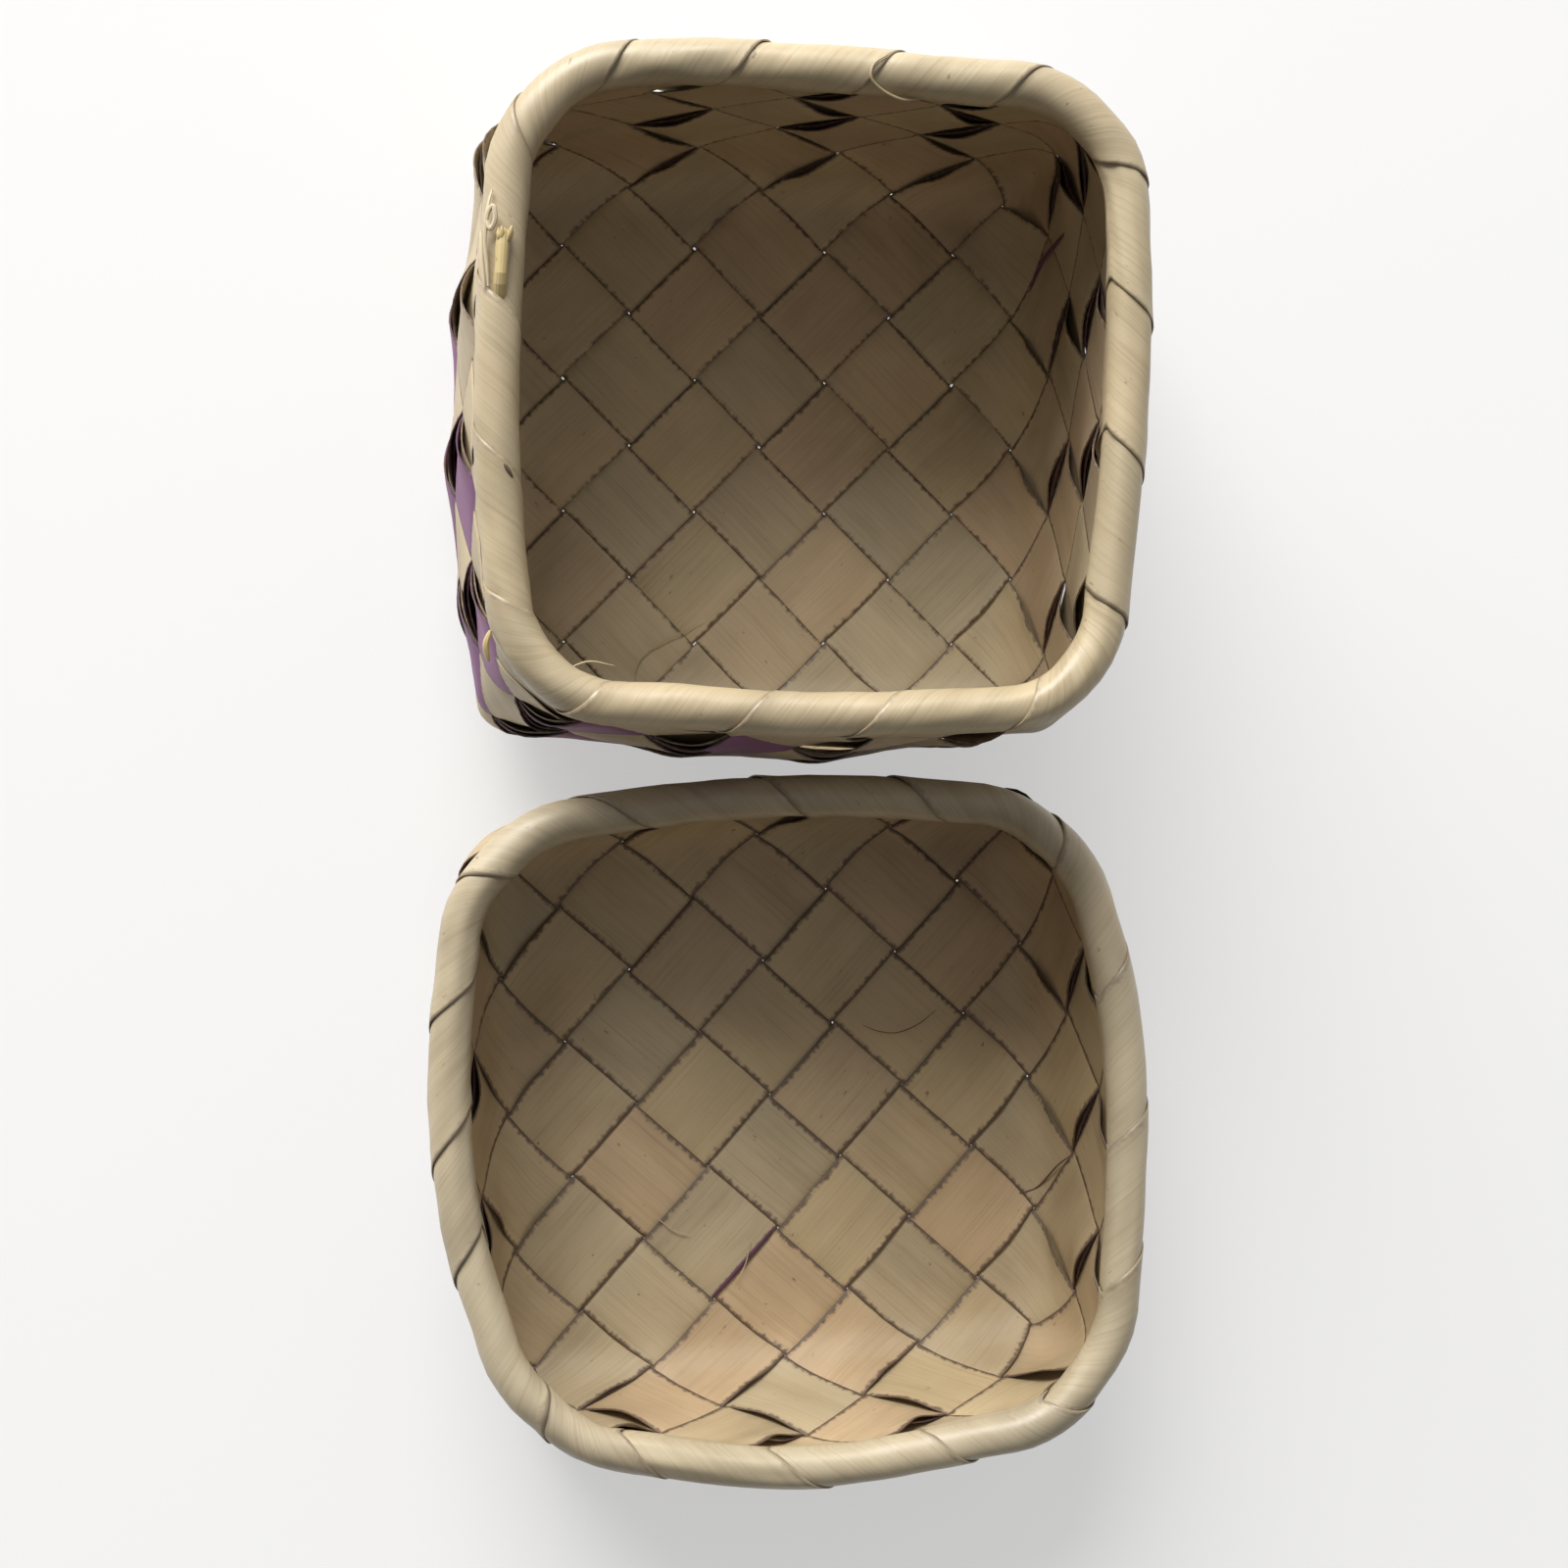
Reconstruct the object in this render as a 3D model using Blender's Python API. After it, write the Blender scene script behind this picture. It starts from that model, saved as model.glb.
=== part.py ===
"""Plaited palm leaf box: an open base and its wider, shallower lid lying beside it, mouth up.

Each half is plaited on the bias from sixteen leaf strips, eight each way. Eight of them are lined
outside with a dyed leaf. The strips cross on the floor, turn up at its four edges and go on round
the corners. At the rim one end of every strip folds outwards over a midrib stick.

Metres, +Z up. The two halves stand on z = 0, with the base towards +Y.
"""

import math

import bmesh
import bpy
from mathutils import Matrix, Vector

for old in list(bpy.data.objects):
    bpy.data.objects.remove(old, do_unlink=True)

# The leaf
BASE_PITCH = 0.018  # width of one strip of the base with its share of the seam
LID_PITCH_SHARE = 1.0323  # the lid is plaited a little wider, so that it goes over the base
LEAF_THICK = 0.0004
LEAF_GAP = 0.0003  # air between two leaves that lie on each other
SEAM_INSET = 0.0007  # how far a strip's edge stays back from the line between two strips
RIM_INSET = 0.0004  # the same where the strip is folded over the rim
FOLD_HOLE = 0.0011  # how much higher the lowest crossings start over the floor's edge
CORNER_HOLE = 0.002  # the same at the floor's corners, where three crossings meet

# The plait: counts of diamonds, measured corner to corner
FLOOR_DIAMONDS = 4
BASE_WALL_ROWS = 6  # half diamonds from the floor's edge up to the rim
LID_WALL_ROWS = 3

# The wall's spread beyond the floor, row by row, as shares of a diamond
BASE_SPREAD_SHARES = (0.0, 0.145, 0.175, 0.16, 0.135, 0.1)
BASE_RIM_SPREAD_SHARE = 0.045
LID_SPREAD_SHARES = (0.0, 0.145, 0.2)
LID_RIM_SPREAD_SHARE = 0.24
RIM_RISE_SHARE = 0.41  # from the last row up to where the folds leave the wall

# Corners and sides of the outline at the rim, as shares of a diamond
BASE_CORNER_SHARE = 0.7
LID_CORNER_SHARE = 0.85
BASE_BOW_SHARE = 0.05
LID_BOW_SHARE = 0.1
BASE_OBLONG_SHARE = 0.008  # how much longer than wide, on each side of the even square
CORNER_GROWTH_POWER = 0.8  # how the corners round off on the way up: under 1 is sooner

# The rim
RIM_RADIUS = 0.0034
STICK_RADIUS = 0.0011
RIM_START_DEG = -30.0  # where the fold meets the roll, counted up from its inner side
RIM_END_DEG = 215.0
RIM_SLANT_SHARE = 0.85  # how far a fold drifts round the rim for the length that it rolls
LEAD_SHARE = 0.33  # how far, in diamonds, it slips sideways where it leaves the wall
LEAD_END_DEG = 52.0
TIP_OUT = 0.0012  # how far outside the stick's middle the cut ends of the other strips stand
TIP_INSET = 0.002  # how far they are cut back on each side
TAIL_LAYERS = 3  # the fold's end lies outside this many leaves
STICK_GAP = 0.004  # between the two ends of a stick

# One fold of the base stands open on the left, and the end of the stick shows there
OPENED_FOLD = 9.5  # which fold, in diamonds anticlockwise from the right side's low end
OPENING_SHARE = 0.49  # of the fold's width
OPENING_START_DEG = 75.0
STICK_END_FOLD = 8.97  # where the stick ends, counted the same way
STICK_LIFT = 0.0016  # how far the stick's end rises in the open fold
STICK_LIFT_SHARE = 0.8  # over this much of a diamond

# How the lid lies beside the base
LID_YAW_DEG = 3.0
LYING_GAP = 0.0031  # between the two rims

# How finely the rim is drawn
FOLD_STEPS = 6
TAIL_SHARES = (1 / 3, 2 / 3)
SIDE_COLUMNS = 2
CORNER_COLUMNS = 4
CORNER_REACH_SHARE = 0.75
STICK_STEPS = 40
STICK_SIDES = 6


# Colours
LEAF_TONES = ((0.42, 0.36, 0.22), (0.38, 0.33, 0.2), (0.46, 0.36, 0.25), (0.35, 0.33, 0.19))
DYED_TONE = (0.2, 0.06, 0.22)
STICK_TONE = (0.62, 0.52, 0.28)


class Half:
    """One half of the box: its plait, its outline at each height, and its rim."""

    def __init__(self, name, pitch, rows, spreads, rim_spread, corner, bow, oblong, wrap_turn):
        self.name = name
        self.pitch = pitch
        self.diamond = pitch * math.sqrt(2)
        self.half_floor = FLOOR_DIAMONDS / 2 * self.diamond
        self.rows = rows
        self.wrap_turn = wrap_turn  # 1 if the strips that rise anticlockwise fold over the rim
        self.corner = corner * self.diamond
        self.bow = bow * self.diamond
        self.oblong = oblong
        self.floor_height = LEAF_THICK / 2 + LEAF_THICK + LEAF_GAP
        row = self.diamond / 2
        self.spread = [share * self.diamond for share in spreads]
        self.height = [self.floor_height]
        for low, high in zip(self.spread, self.spread[1:]):
            self.height.append(self.height[-1] + math.sqrt(row**2 - (high - low) ** 2))
        self.rim_spread = rim_spread * self.diamond
        self.spread.append(self.rim_spread)
        self.height.append(self.height[-1] + RIM_RISE_SHARE * self.diamond)
        self.rim_height = self.height[-1] - math.sin(math.radians(RIM_START_DEG)) * RIM_RADIUS

    def profile(self, rise):
        """Spread, height, and the wall's direction, at a length up the wall."""
        place = min(max(rise / (self.diamond / 2), 0), self.rows)
        row = min(int(place), self.rows - 1)
        part = place - row
        spread = self.spread[row] + part * (self.spread[row + 1] - self.spread[row])
        height = self.height[row] + part * (self.height[row + 1] - self.height[row])
        lean = Vector((self.spread[row + 1] - self.spread[row], self.height[row + 1] - self.height[row]))
        lean.normalize()
        return spread, height, lean

    def ring(self, along, spread, grown):
        """A point of the outline and its outward direction, at a distance along it.

        It runs anticlockwise from the right side's low end.
        """
        side_length = 2 * self.half_floor
        side = math.floor(along / side_length)
        reach = (along - (side + 0.5) * side_length) / self.half_floor
        half = self.half_floor + spread
        corner = max(grown * self.corner, LEAF_GAP)
        straight = half - corner
        way = abs(reach) * (straight + math.pi / 4 * corner)
        turn = max(way - straight, 0) / corner
        out = Vector((math.cos(turn), math.copysign(math.sin(turn), reach)))
        point = Vector((straight, math.copysign(min(way, straight), reach))) + corner * out
        point += out * self.bow * grown * (1 - reach**2)
        spin = Matrix.Rotation(math.radians(90) * side, 2)
        point, out = spin @ point, spin @ out
        point = Vector((point.x * (1 - self.oblong * grown), point.y * (1 + self.oblong * grown)))
        return point, out

    def wall(self, along, rise):
        """A point in the middle of the wall, and the outward direction there."""
        spread, height, lean = self.profile(rise)
        grown = min(rise / (self.rows * self.diamond / 2), 1)
        point, out = self.ring(along, spread, max(grown, 0) ** CORNER_GROWTH_POWER)
        normal = Vector((out.x * lean.y, out.y * lean.y, -lean.x))
        return Vector((point.x, point.y, height)), normal

    def wall_offset(self, along, rise):
        """The wall's point with the vector that moves every facet round it by one."""
        step = self.diamond / 4
        around = [
            self.wall(along + a, max(rise + b, LEAF_GAP))[1] for a in (-step, step) for b in (-step, step)
        ]
        if rise <= 0:
            side_length = 2 * self.half_floor
            middle = (math.floor(along / side_length) + 0.5) * side_length
            around = [self.wall(middle, step)[1], Vector((0, 0, -1))]
        total = sum(around, Vector((0, 0, 0))).normalized()
        mean = sum(total.dot(n) for n in around) / len(around)
        return self.wall(along, rise)[0], total / mean

    def spot(self, x, y):
        """The same for a place on the unfolded sheet, floor or wall."""
        half = self.half_floor
        side_length = 2 * half
        if x >= half:
            return self.wall_offset(y + half, x - half)
        if y >= half:
            return self.wall_offset(side_length + half - x, y - half)
        if x <= -half:
            return self.wall_offset(2 * side_length + half - y, -half - x)
        if y <= -half:
            return self.wall_offset(3 * side_length + half + x, -half - y)
        return Vector((x, y, self.floor_height)), Vector((0, 0, -1))

    def roll(self, along, degrees):
        """A point on the rolled rim, with the roll's own outward direction."""
        angle = math.radians(degrees)
        centre, out = self.ring(along, self.rim_spread, 1)
        normal = Vector((-math.cos(angle) * out.x, -math.cos(angle) * out.y, math.sin(angle)))
        middle = Vector((centre.x, centre.y, self.rim_height))
        return middle + RIM_RADIUS * normal, normal, middle, Vector((out.x, out.y, 0))


BASE = Half(
    "base", BASE_PITCH, BASE_WALL_ROWS, BASE_SPREAD_SHARES, BASE_RIM_SPREAD_SHARE,
    BASE_CORNER_SHARE, BASE_BOW_SHARE, BASE_OBLONG_SHARE, wrap_turn=-1,
)
LID = Half(
    "lid", BASE_PITCH * LID_PITCH_SHARE, LID_WALL_ROWS, LID_SPREAD_SHARES, LID_RIM_SPREAD_SHARE,
    LID_CORNER_SHARE, LID_BOW_SHARE, oblong=0, wrap_turn=1,
)


def leaves_at(turn, start, half):
    """How many leaves a strip has that rises in this direction from this place of the floor's edge."""
    side = math.floor(start / (2 * half.half_floor)) % 4
    return 2 if (turn > 0) == (side % 2 == 0) else 1


class Cell:
    """One crossing of a strip: its four corners on the sheet, and its leaf's place in the stack."""

    def __init__(self, kind, spots, layer, count, split):
        self.kind = kind
        self.spots = spots
        self.layer = layer - (count - 1) / 2
        self.split = split


def floor_cells(half, family, lane):
    """The crossings of one strip on the floor, with those that its edges fold in two."""
    size = half.diamond
    reach = FLOOR_DIAMONDS - abs(lane)
    inset = half.pitch / 2 - SEAM_INSET
    own = 2 if family == "a" else 1
    cells = []
    for step in range(int(2 * reach) + 1):
        cross = step - reach
        a, b = (lane, cross) if family == "a" else (cross, lane)
        x, y = (a + b) / 2 * size, (b - a) / 2 * size
        a_inside = round(a + b - 1) % 2 == 0
        inside = a_inside == (family == "a")
        ahead = Vector((1, 1 if family == "a" else -1)).normalized() * inset
        left = Vector((-ahead.y, ahead.x))
        middle = Vector((x, y))
        places = [middle + s * ahead + t * left for s in (-1, 1) for t in (-1, 1)]
        for place in places:
            if max(abs(place.x), abs(place.y)) >= half.half_floor - LEAF_GAP:
                if min(abs(place.x), abs(place.y)) > half.half_floor - size / 4:
                    axis = 0 if abs(place.x) < abs(place.y) else 1
                    place[axis] -= math.copysign(CORNER_HOLE, place[axis])
        spots = [half.spot(*place) for place in places]
        edge = step in (0, int(2 * reach))
        if edge:
            on_x = abs(x) > abs(y)
            low = [i for i, (s, t) in enumerate(((-1, -1), (-1, 1), (1, -1), (1, 1)))
                   if abs((s * ahead + t * left)[0 if on_x else 1]) < inset / 2]
            split = tuple(low)
        else:
            split = (0, 3)
        cells.append(Cell("floor", spots, 0 if inside else 3 - own, 3, split))
    return cells


def end_place(half, family, lane, sign):
    """Where a strip crosses the floor's edge, measured round the box, and which way it rises."""
    size = half.diamond
    cross = sign * (FLOOR_DIAMONDS - abs(lane))
    a, b = (lane, cross) if family == "a" else (cross, lane)
    x, y = (a + b) / 2 * size, (b - a) / 2 * size
    floor = half.half_floor
    if abs(x) > abs(y):
        start = y + floor if x > 0 else 5 * floor - y
    else:
        start = 3 * floor - x if y > 0 else 7 * floor + x
    side = math.floor(start / (2 * floor))
    turn = 1 if (family == "a") == (side % 2 == 0) else -1
    return start, turn


def wall_cells(half, family, lane, sign):
    """The crossings of one end of a strip up the wall, the last one cut in two by the rim."""
    start, turn = end_place(half, family, lane, sign)
    inset = half.pitch / 2 - SEAM_INSET
    own = 2 if family == "a" else 1
    cells = []
    for row in range(1, half.rows + 1):
        rise = row * half.diamond / 2
        along = start + turn * rise
        last = row == half.rows
        other = 1 if last else leaves_at(-turn, along + turn * rise, half)
        mine = 1 if last else own
        inside = (turn > 0) == (row % 2 == 1)
        ahead = Vector((turn, 1)).normalized() * sign * inset
        left = Vector((1, -turn)).normalized() * sign * inset
        middle = Vector((along, rise))
        places = [middle + s * ahead + t * left for s in (-1, 1) for t in (-1, 1)]
        if row == 1:
            at_corner = abs(along / (2 * half.half_floor) % 1 - 0.5) > 0.49
            min(places, key=lambda place: place.y).y += CORNER_HOLE if at_corner else FOLD_HOLE
        spots = [half.wall_offset(*place) for place in places]
        upright = tuple(i for i, place in enumerate(places) if abs(place.x - along) < inset / 2)
        cell = Cell("rim" if last else "wall", spots, 0 if inside else other, mine + other, upright)
        cell.places = places
        cell.along = along
        cell.turn = turn
        cells.append(cell)
    return cells


def closed_mesh(name, vertices, faces):
    """A mesh of these points and faces, turned to face outwards."""
    work = bmesh.new()
    made = [work.verts.new(v) for v in vertices]
    for face in faces:
        work.faces.new([made[i] for i in face])
    bmesh.ops.recalc_face_normals(work, faces=work.faces)
    mesh = bpy.data.meshes.new(name)
    work.to_mesh(mesh)
    work.free()
    return mesh


class Sheet:
    """A thin leaf: points with the direction of its thickness, and faces between them."""

    def __init__(self):
        self.points = []
        self.faces = []

    def add(self, point, normal):
        self.points.append((point, normal))
        return len(self.points) - 1

    def mesh(self, name, thick):
        """The closed body: both faces of the leaf, and a wall round its edge."""
        count = len(self.points)
        vertices = [p + n * thick / 2 for p, n in self.points] + [p - n * thick / 2 for p, n in self.points]
        uses = {}
        for face in self.faces:
            for a, b in zip(face, face[1:] + face[:1]):
                uses.setdefault(frozenset((a, b)), []).append((a, b))
        faces = [list(face) for face in self.faces]
        faces += [[i + count for i in reversed(face)] for face in self.faces]
        for found in uses.values():
            if len(found) == 1:
                a, b = found[0]
                faces.append([b, a, a + count, b + count])
        return closed_mesh(name, vertices, faces)


def join(sheet, back, front, split=(0, 3)):
    """The two triangles between two edges of two points each."""
    a, b = back
    c, d = front
    ring = [a, c, d, b]
    corners = dict(zip((0, 1, 2, 3), (a, b, c, d)))
    first, second = (corners[i] for i in split)
    rest = [v for v in ring if v not in (first, second)]
    for third in rest:
        face = [v for v in ring if v in (first, second, third)]
        sheet.faces.append(face)


def across(half, cell, inset, notch=0):
    """The places across a fold, from its low end round the rim to its high end, more of them at a corner."""
    wide = half.diamond / 2 - inset * math.sqrt(2)
    side_length = 2 * half.half_floor
    from_corner = abs((cell.along / side_length + 0.5) % 1 - 0.5) * side_length
    columns = CORNER_COLUMNS if from_corner < CORNER_REACH_SHARE * half.diamond else SIDE_COLUMNS
    high = wide - notch
    return [-wide + (high + wide) * number / columns for number in range(columns + 1)]


def fan(sheet, row, apex, flip):
    for a, b in zip(row, row[1:]):
        sheet.faces.append([apex, a, b] if not flip else [apex, b, a])


def band(sheet, row, following, flip):
    """The faces between two lines across a fold."""
    for a, b, c, d in zip(row, following, following[1:], row[1:]):
        sheet.faces.append([a, b, c, d] if not flip else [d, c, b, a])


def rim_row(half, sheet, cell, drift, degrees, places):
    """One line across a fold, somewhere round the roll."""
    row = []
    for place in places:
        point, normal, _, _ = half.roll(cell.along + drift + place, degrees)
        row.append(sheet.add(point, -normal))
    return row


def finish_end(half, sheet, cell, low, sign):
    """The half crossing under the rim: a fold over the roll, or a cut tip inside it."""
    flip = sign * cell.turn > 0
    if cell.turn != half.wrap_turn:
        row = []
        for place in across(half, cell, TIP_INSET):
            _, _, middle, out = half.roll(cell.along + place, 0)
            cut = Vector((middle.x, middle.y, half.height[-1])) + TIP_OUT * out
            row.append(sheet.add(cut, out))
        fan(sheet, row, low, flip)
        return row
    first = row = rim_row(half, sheet, cell, 0, RIM_START_DEG, across(half, cell, SEAM_INSET))
    fan(sheet, row, low, flip)
    opened = half is BASE and abs(cell.along / half.diamond - OPENED_FOLD) < OPENING_SHARE
    opening = OPENING_SHARE * half.diamond if opened else 0
    for number in range(1, FOLD_STEPS + 1):
        degrees = RIM_START_DEG + (RIM_END_DEG - RIM_START_DEG) * number / FOLD_STEPS
        rolled = math.radians(degrees - RIM_START_DEG) * RIM_RADIUS
        led = min((degrees - RIM_START_DEG) / (LEAD_END_DEG - RIM_START_DEG), 1) * LEAD_SHARE
        drift = cell.turn * (led * half.diamond + rolled * RIM_SLANT_SHARE)
        notch = opening if degrees > OPENING_START_DEG else 0
        following = rim_row(half, sheet, cell, drift, degrees, across(half, cell, RIM_INSET, notch))
        band(sheet, row, following, flip)
        row = following
    places = across(half, cell, RIM_INSET, opening)
    for part_share in TAIL_SHARES:
        following = [
            sheet.add(*tail_spot(half, cell, drift, part_share, place * (1 - part_share))) for place in places
        ]
        band(sheet, row, following, flip)
        row = following
    fan(sheet, row, sheet.add(*tail_spot(half, cell, drift, 1, 0)), not flip)
    return first


def tail_spot(half, cell, drift, part_share, aside):
    """A point of the fold's end, which lies upside down on the outside of the wall and narrows to a point."""
    slope = cell.turn * half.diamond / 4 * part_share
    rise = (half.rows - part_share) * half.diamond / 2 + SEAM_INSET * math.sqrt(2) * part_share
    point, normal = half.wall_offset(cell.along + drift + slope + aside, rise)
    return point + normal * (LEAF_THICK + LEAF_GAP) * TAIL_LAYERS, -normal


def strip_sheet(half, family, lane, dyed):
    """The whole leaf, from one end to the other."""
    step = LEAF_THICK + LEAF_GAP
    extra = 1 if dyed else 0
    back = wall_cells(half, family, lane, -1)[::-1]
    front = wall_cells(half, family, lane, 1)
    cells = back + floor_cells(half, family, lane) + front
    if dyed:
        cells = cells[1:-1]
    sheet = Sheet()
    previous = None
    for number, cell in enumerate(cells):
        layer = (cell.layer + extra) * step
        if cell.kind == "rim":
            at_start = number == 0
            sign = -1 if at_start else 1
            lows = sorted(range(4), key=lambda i: cell.places[i].y)
            near = (2, 3) if at_start else (0, 1)
            low_index = lows[0]
            assert low_index in near
            point, normal = cell.spots[low_index]
            low = sheet.add(point + normal * layer, normal)
            row = finish_end(half, sheet, cell, low, sign)
            side_index = [i for i in near if i != low_index][0]
            side_right = cell.places[side_index].x > cell.along
            side = row[-1] if side_right else row[0]
            edge = tuple(low if i == low_index else side for i in near)
            if at_start:
                previous = edge
            else:
                join(sheet, previous, edge)
            continue
        ids = [sheet.add(p + n * layer, n) for p, n in cell.spots]
        if previous is not None:
            join(sheet, previous, (ids[0], ids[1]))
        join(sheet, (ids[0], ids[1]), (ids[2], ids[3]), cell.split)
        previous = (ids[2], ids[3])
    return sheet


def material(name, colour, rough):
    made = bpy.data.materials.new(name)
    made.use_nodes = True
    shader = made.node_tree.nodes["Principled BSDF"]
    shader.inputs["Base Color"].default_value = (*colour, 1)
    shader.inputs["Roughness"].default_value = rough
    shader.inputs["Metallic"].default_value = 0
    return made


def add_object(name, mesh, tone, rough, parent):
    mesh.materials.append(material(name + "_leaf", tone, rough))
    piece = bpy.data.objects.new(name, mesh)
    bpy.context.scene.collection.objects.link(piece)
    piece.parent = parent
    return piece


def add_stick(half, parent):
    """The midrib that stiffens the rim: one bent stick whose two ends almost meet."""
    perimeter = 8 * half.half_floor
    start = STICK_END_FOLD * half.diamond
    length = perimeter - STICK_GAP
    points, faces = [], []
    for number in range(STICK_STEPS + 1):
        way = length * number / STICK_STEPS
        _, _, middle, out = half.roll(start + way, 0)
        lift = STICK_LIFT * max(1 - way / (STICK_LIFT_SHARE * half.diamond), 0) if half is BASE else 0
        middle = middle + lift * (out + Vector((0, 0, 1))).normalized()
        for side in range(STICK_SIDES):
            angle = math.tau * side / STICK_SIDES
            round_it = math.cos(angle) * out + math.sin(angle) * Vector((0, 0, 1))
            points.append(middle + STICK_RADIUS * round_it)
    for number in range(STICK_STEPS):
        for side in range(STICK_SIDES):
            a = number * STICK_SIDES + side
            b = number * STICK_SIDES + (side + 1) % STICK_SIDES
            faces.append([a, b, b + STICK_SIDES, a + STICK_SIDES])
    faces.append(list(range(STICK_SIDES))[::-1])
    faces.append([STICK_STEPS * STICK_SIDES + side for side in range(STICK_SIDES)])
    mesh = closed_mesh(half.name + "_rim_stick", points, faces)
    add_object(half.name + "_rim_stick", mesh, STICK_TONE, 0.6, parent)


def add_half(half, parent):
    lanes = [k + 0.5 for k in range(-FLOOR_DIAMONDS, FLOOR_DIAMONDS)]
    for number, lane in enumerate(lanes, 1):
        for family in ("a", "b"):
            name = f"{half.name}_leaf_{family}{number}"
            sheet = strip_sheet(half, family, lane, False)
            tone = LEAF_TONES[(number * 3 + (family == "b")) % len(LEAF_TONES)]
            add_object(name, sheet.mesh(name, LEAF_THICK), tone, 0.55, parent)
        name = f"{half.name}_dyed_leaf_{number}"
        sheet = strip_sheet(half, "a", lane, True)
        add_object(name, sheet.mesh(name, LEAF_THICK), DYED_TONE, 0.5, parent)
    add_stick(half, parent)


def add_empty(name):
    """The frame of one half: its place in the model, and the line along which the lid lifts."""
    empty = bpy.data.objects.new(name, None)
    bpy.context.scene.collection.objects.link(empty)
    return empty


def reach(root, way):
    """How far the pieces of one half reach in a direction, from that half's middle."""
    return max(way.dot(v.co) for piece in root.children for v in piece.data.vertices)


def turned(degrees):
    return Matrix.Rotation(math.radians(degrees), 4, "Z")


base_root = add_empty("base_middle")
add_half(BASE, base_root)
lid_root = add_empty("lid_middle")
add_half(LID, lid_root)

# The lid lies beside the base, turned a little, and lifts straight up from there
yaw = turned(LID_YAW_DEG)
away = turned(LID_YAW_DEG / 2) @ Vector((0, -1, 0))
span = reach(base_root, away) + LYING_GAP + reach(lid_root, yaw.inverted() @ -away)
lid_root.parent = base_root
lid_root.matrix_basis = Matrix.Translation(away * span) @ yaw

# The origin is the middle of the whole model's bounding box, at its foot
corners = [v.co.copy() for piece in base_root.children if piece.data for v in piece.data.vertices]
corners += [lid_root.matrix_basis @ v.co for piece in lid_root.children for v in piece.data.vertices]
middle = [(min(c[axis] for c in corners) + max(c[axis] for c in corners)) / 2 for axis in (0, 1)]
base_root.location = (-middle[0], -middle[1], -min(c.z for c in corners))
bpy.context.view_layer.update()
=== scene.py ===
import math

import bpy
import numpy as np
from mathutils import Euler, Matrix, Vector


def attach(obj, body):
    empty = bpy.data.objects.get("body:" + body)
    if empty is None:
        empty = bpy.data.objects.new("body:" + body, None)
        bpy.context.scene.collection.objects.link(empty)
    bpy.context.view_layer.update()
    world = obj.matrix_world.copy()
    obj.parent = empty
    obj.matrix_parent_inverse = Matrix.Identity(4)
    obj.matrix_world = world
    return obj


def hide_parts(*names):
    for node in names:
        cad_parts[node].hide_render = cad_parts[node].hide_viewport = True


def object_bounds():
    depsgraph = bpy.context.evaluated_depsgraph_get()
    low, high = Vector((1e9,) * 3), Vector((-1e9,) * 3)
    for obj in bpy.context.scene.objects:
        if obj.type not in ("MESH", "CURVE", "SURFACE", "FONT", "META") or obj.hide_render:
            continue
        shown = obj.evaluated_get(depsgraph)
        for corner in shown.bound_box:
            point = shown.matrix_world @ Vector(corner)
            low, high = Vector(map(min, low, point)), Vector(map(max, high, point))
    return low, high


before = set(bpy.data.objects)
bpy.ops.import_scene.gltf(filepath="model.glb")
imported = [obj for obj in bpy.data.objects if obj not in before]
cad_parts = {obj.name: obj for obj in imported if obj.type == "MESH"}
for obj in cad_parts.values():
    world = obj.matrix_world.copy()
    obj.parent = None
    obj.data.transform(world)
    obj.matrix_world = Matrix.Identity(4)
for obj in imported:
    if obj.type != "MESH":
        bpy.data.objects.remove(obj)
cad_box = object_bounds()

# Metres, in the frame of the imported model. The unit of the plait is the diamond, corner to corner.
BASE_DIAMOND = 0.02545584
LID_DIAMOND = 0.02627807
BASE_CENTRE = (-0.0032966, 0.0671572)
LID_CENTRE = (-0.0011, -0.0591)
LID_YAW = math.radians(3.2)
FLOOR_DIAMONDS = 4
SEAM_COUNT = 16  # the rim's folds, one for each diamond round a half

# The leaf and its edges
LEAF = 0.00024  # thickness of one leaf as drawn
LAYER = 0.00027  # half the step between the inner and the outer strip of a crossing
STEP_SHARE = 0.07  # the share of a crossing in which a strip changes from inside to outside
EDGE_GAP = {"base": 0.00018, "lid": 0.00013}  # how far the edges stay back from the next strip
EDGE_RAGGED = 0.00008
DYED_GAP = 0.0003  # how far the edges of a dyed leaf stay back besides
CORNER_LIMIT = 1e-4  # how near a strip comes to the diagonal through the corners, in diamonds

# What lifts a strip off its middle surface
SMALL_GAPE = 0.00015  # every upper edge on the inside of a wall
CHANCE_GAPE = 0.0002  # and up to this besides
HIDDEN_GAPES = (0.0004, 0.0016)  # at the rim, on the walls that the picture can't show
HIDDEN_FROM = 7.8  # where those walls start, in diamonds round the base
OUTSIDE_GAPE = 0.0008  # every upper edge on the outside
OUTSIDE_GAPE_UP = 0.0024  # and up to this besides at the rim
GAPE_FADE = 0.3  # diamonds over which gapes start at the floor and end at the rim
UPPER_EDGE = 0.3  # the share of a strip's width that keeps down
FLOOR_CURL = 0.00012  # how far the edges curl on the floor
PILLOW = 0.00016  # how far a cell bulges in its middle
RIDGE = 0.00003  # the ridges along a leaf
WARP = 0.0003  # the unevenness that all strips share
WARP_SEED = 19

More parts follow.
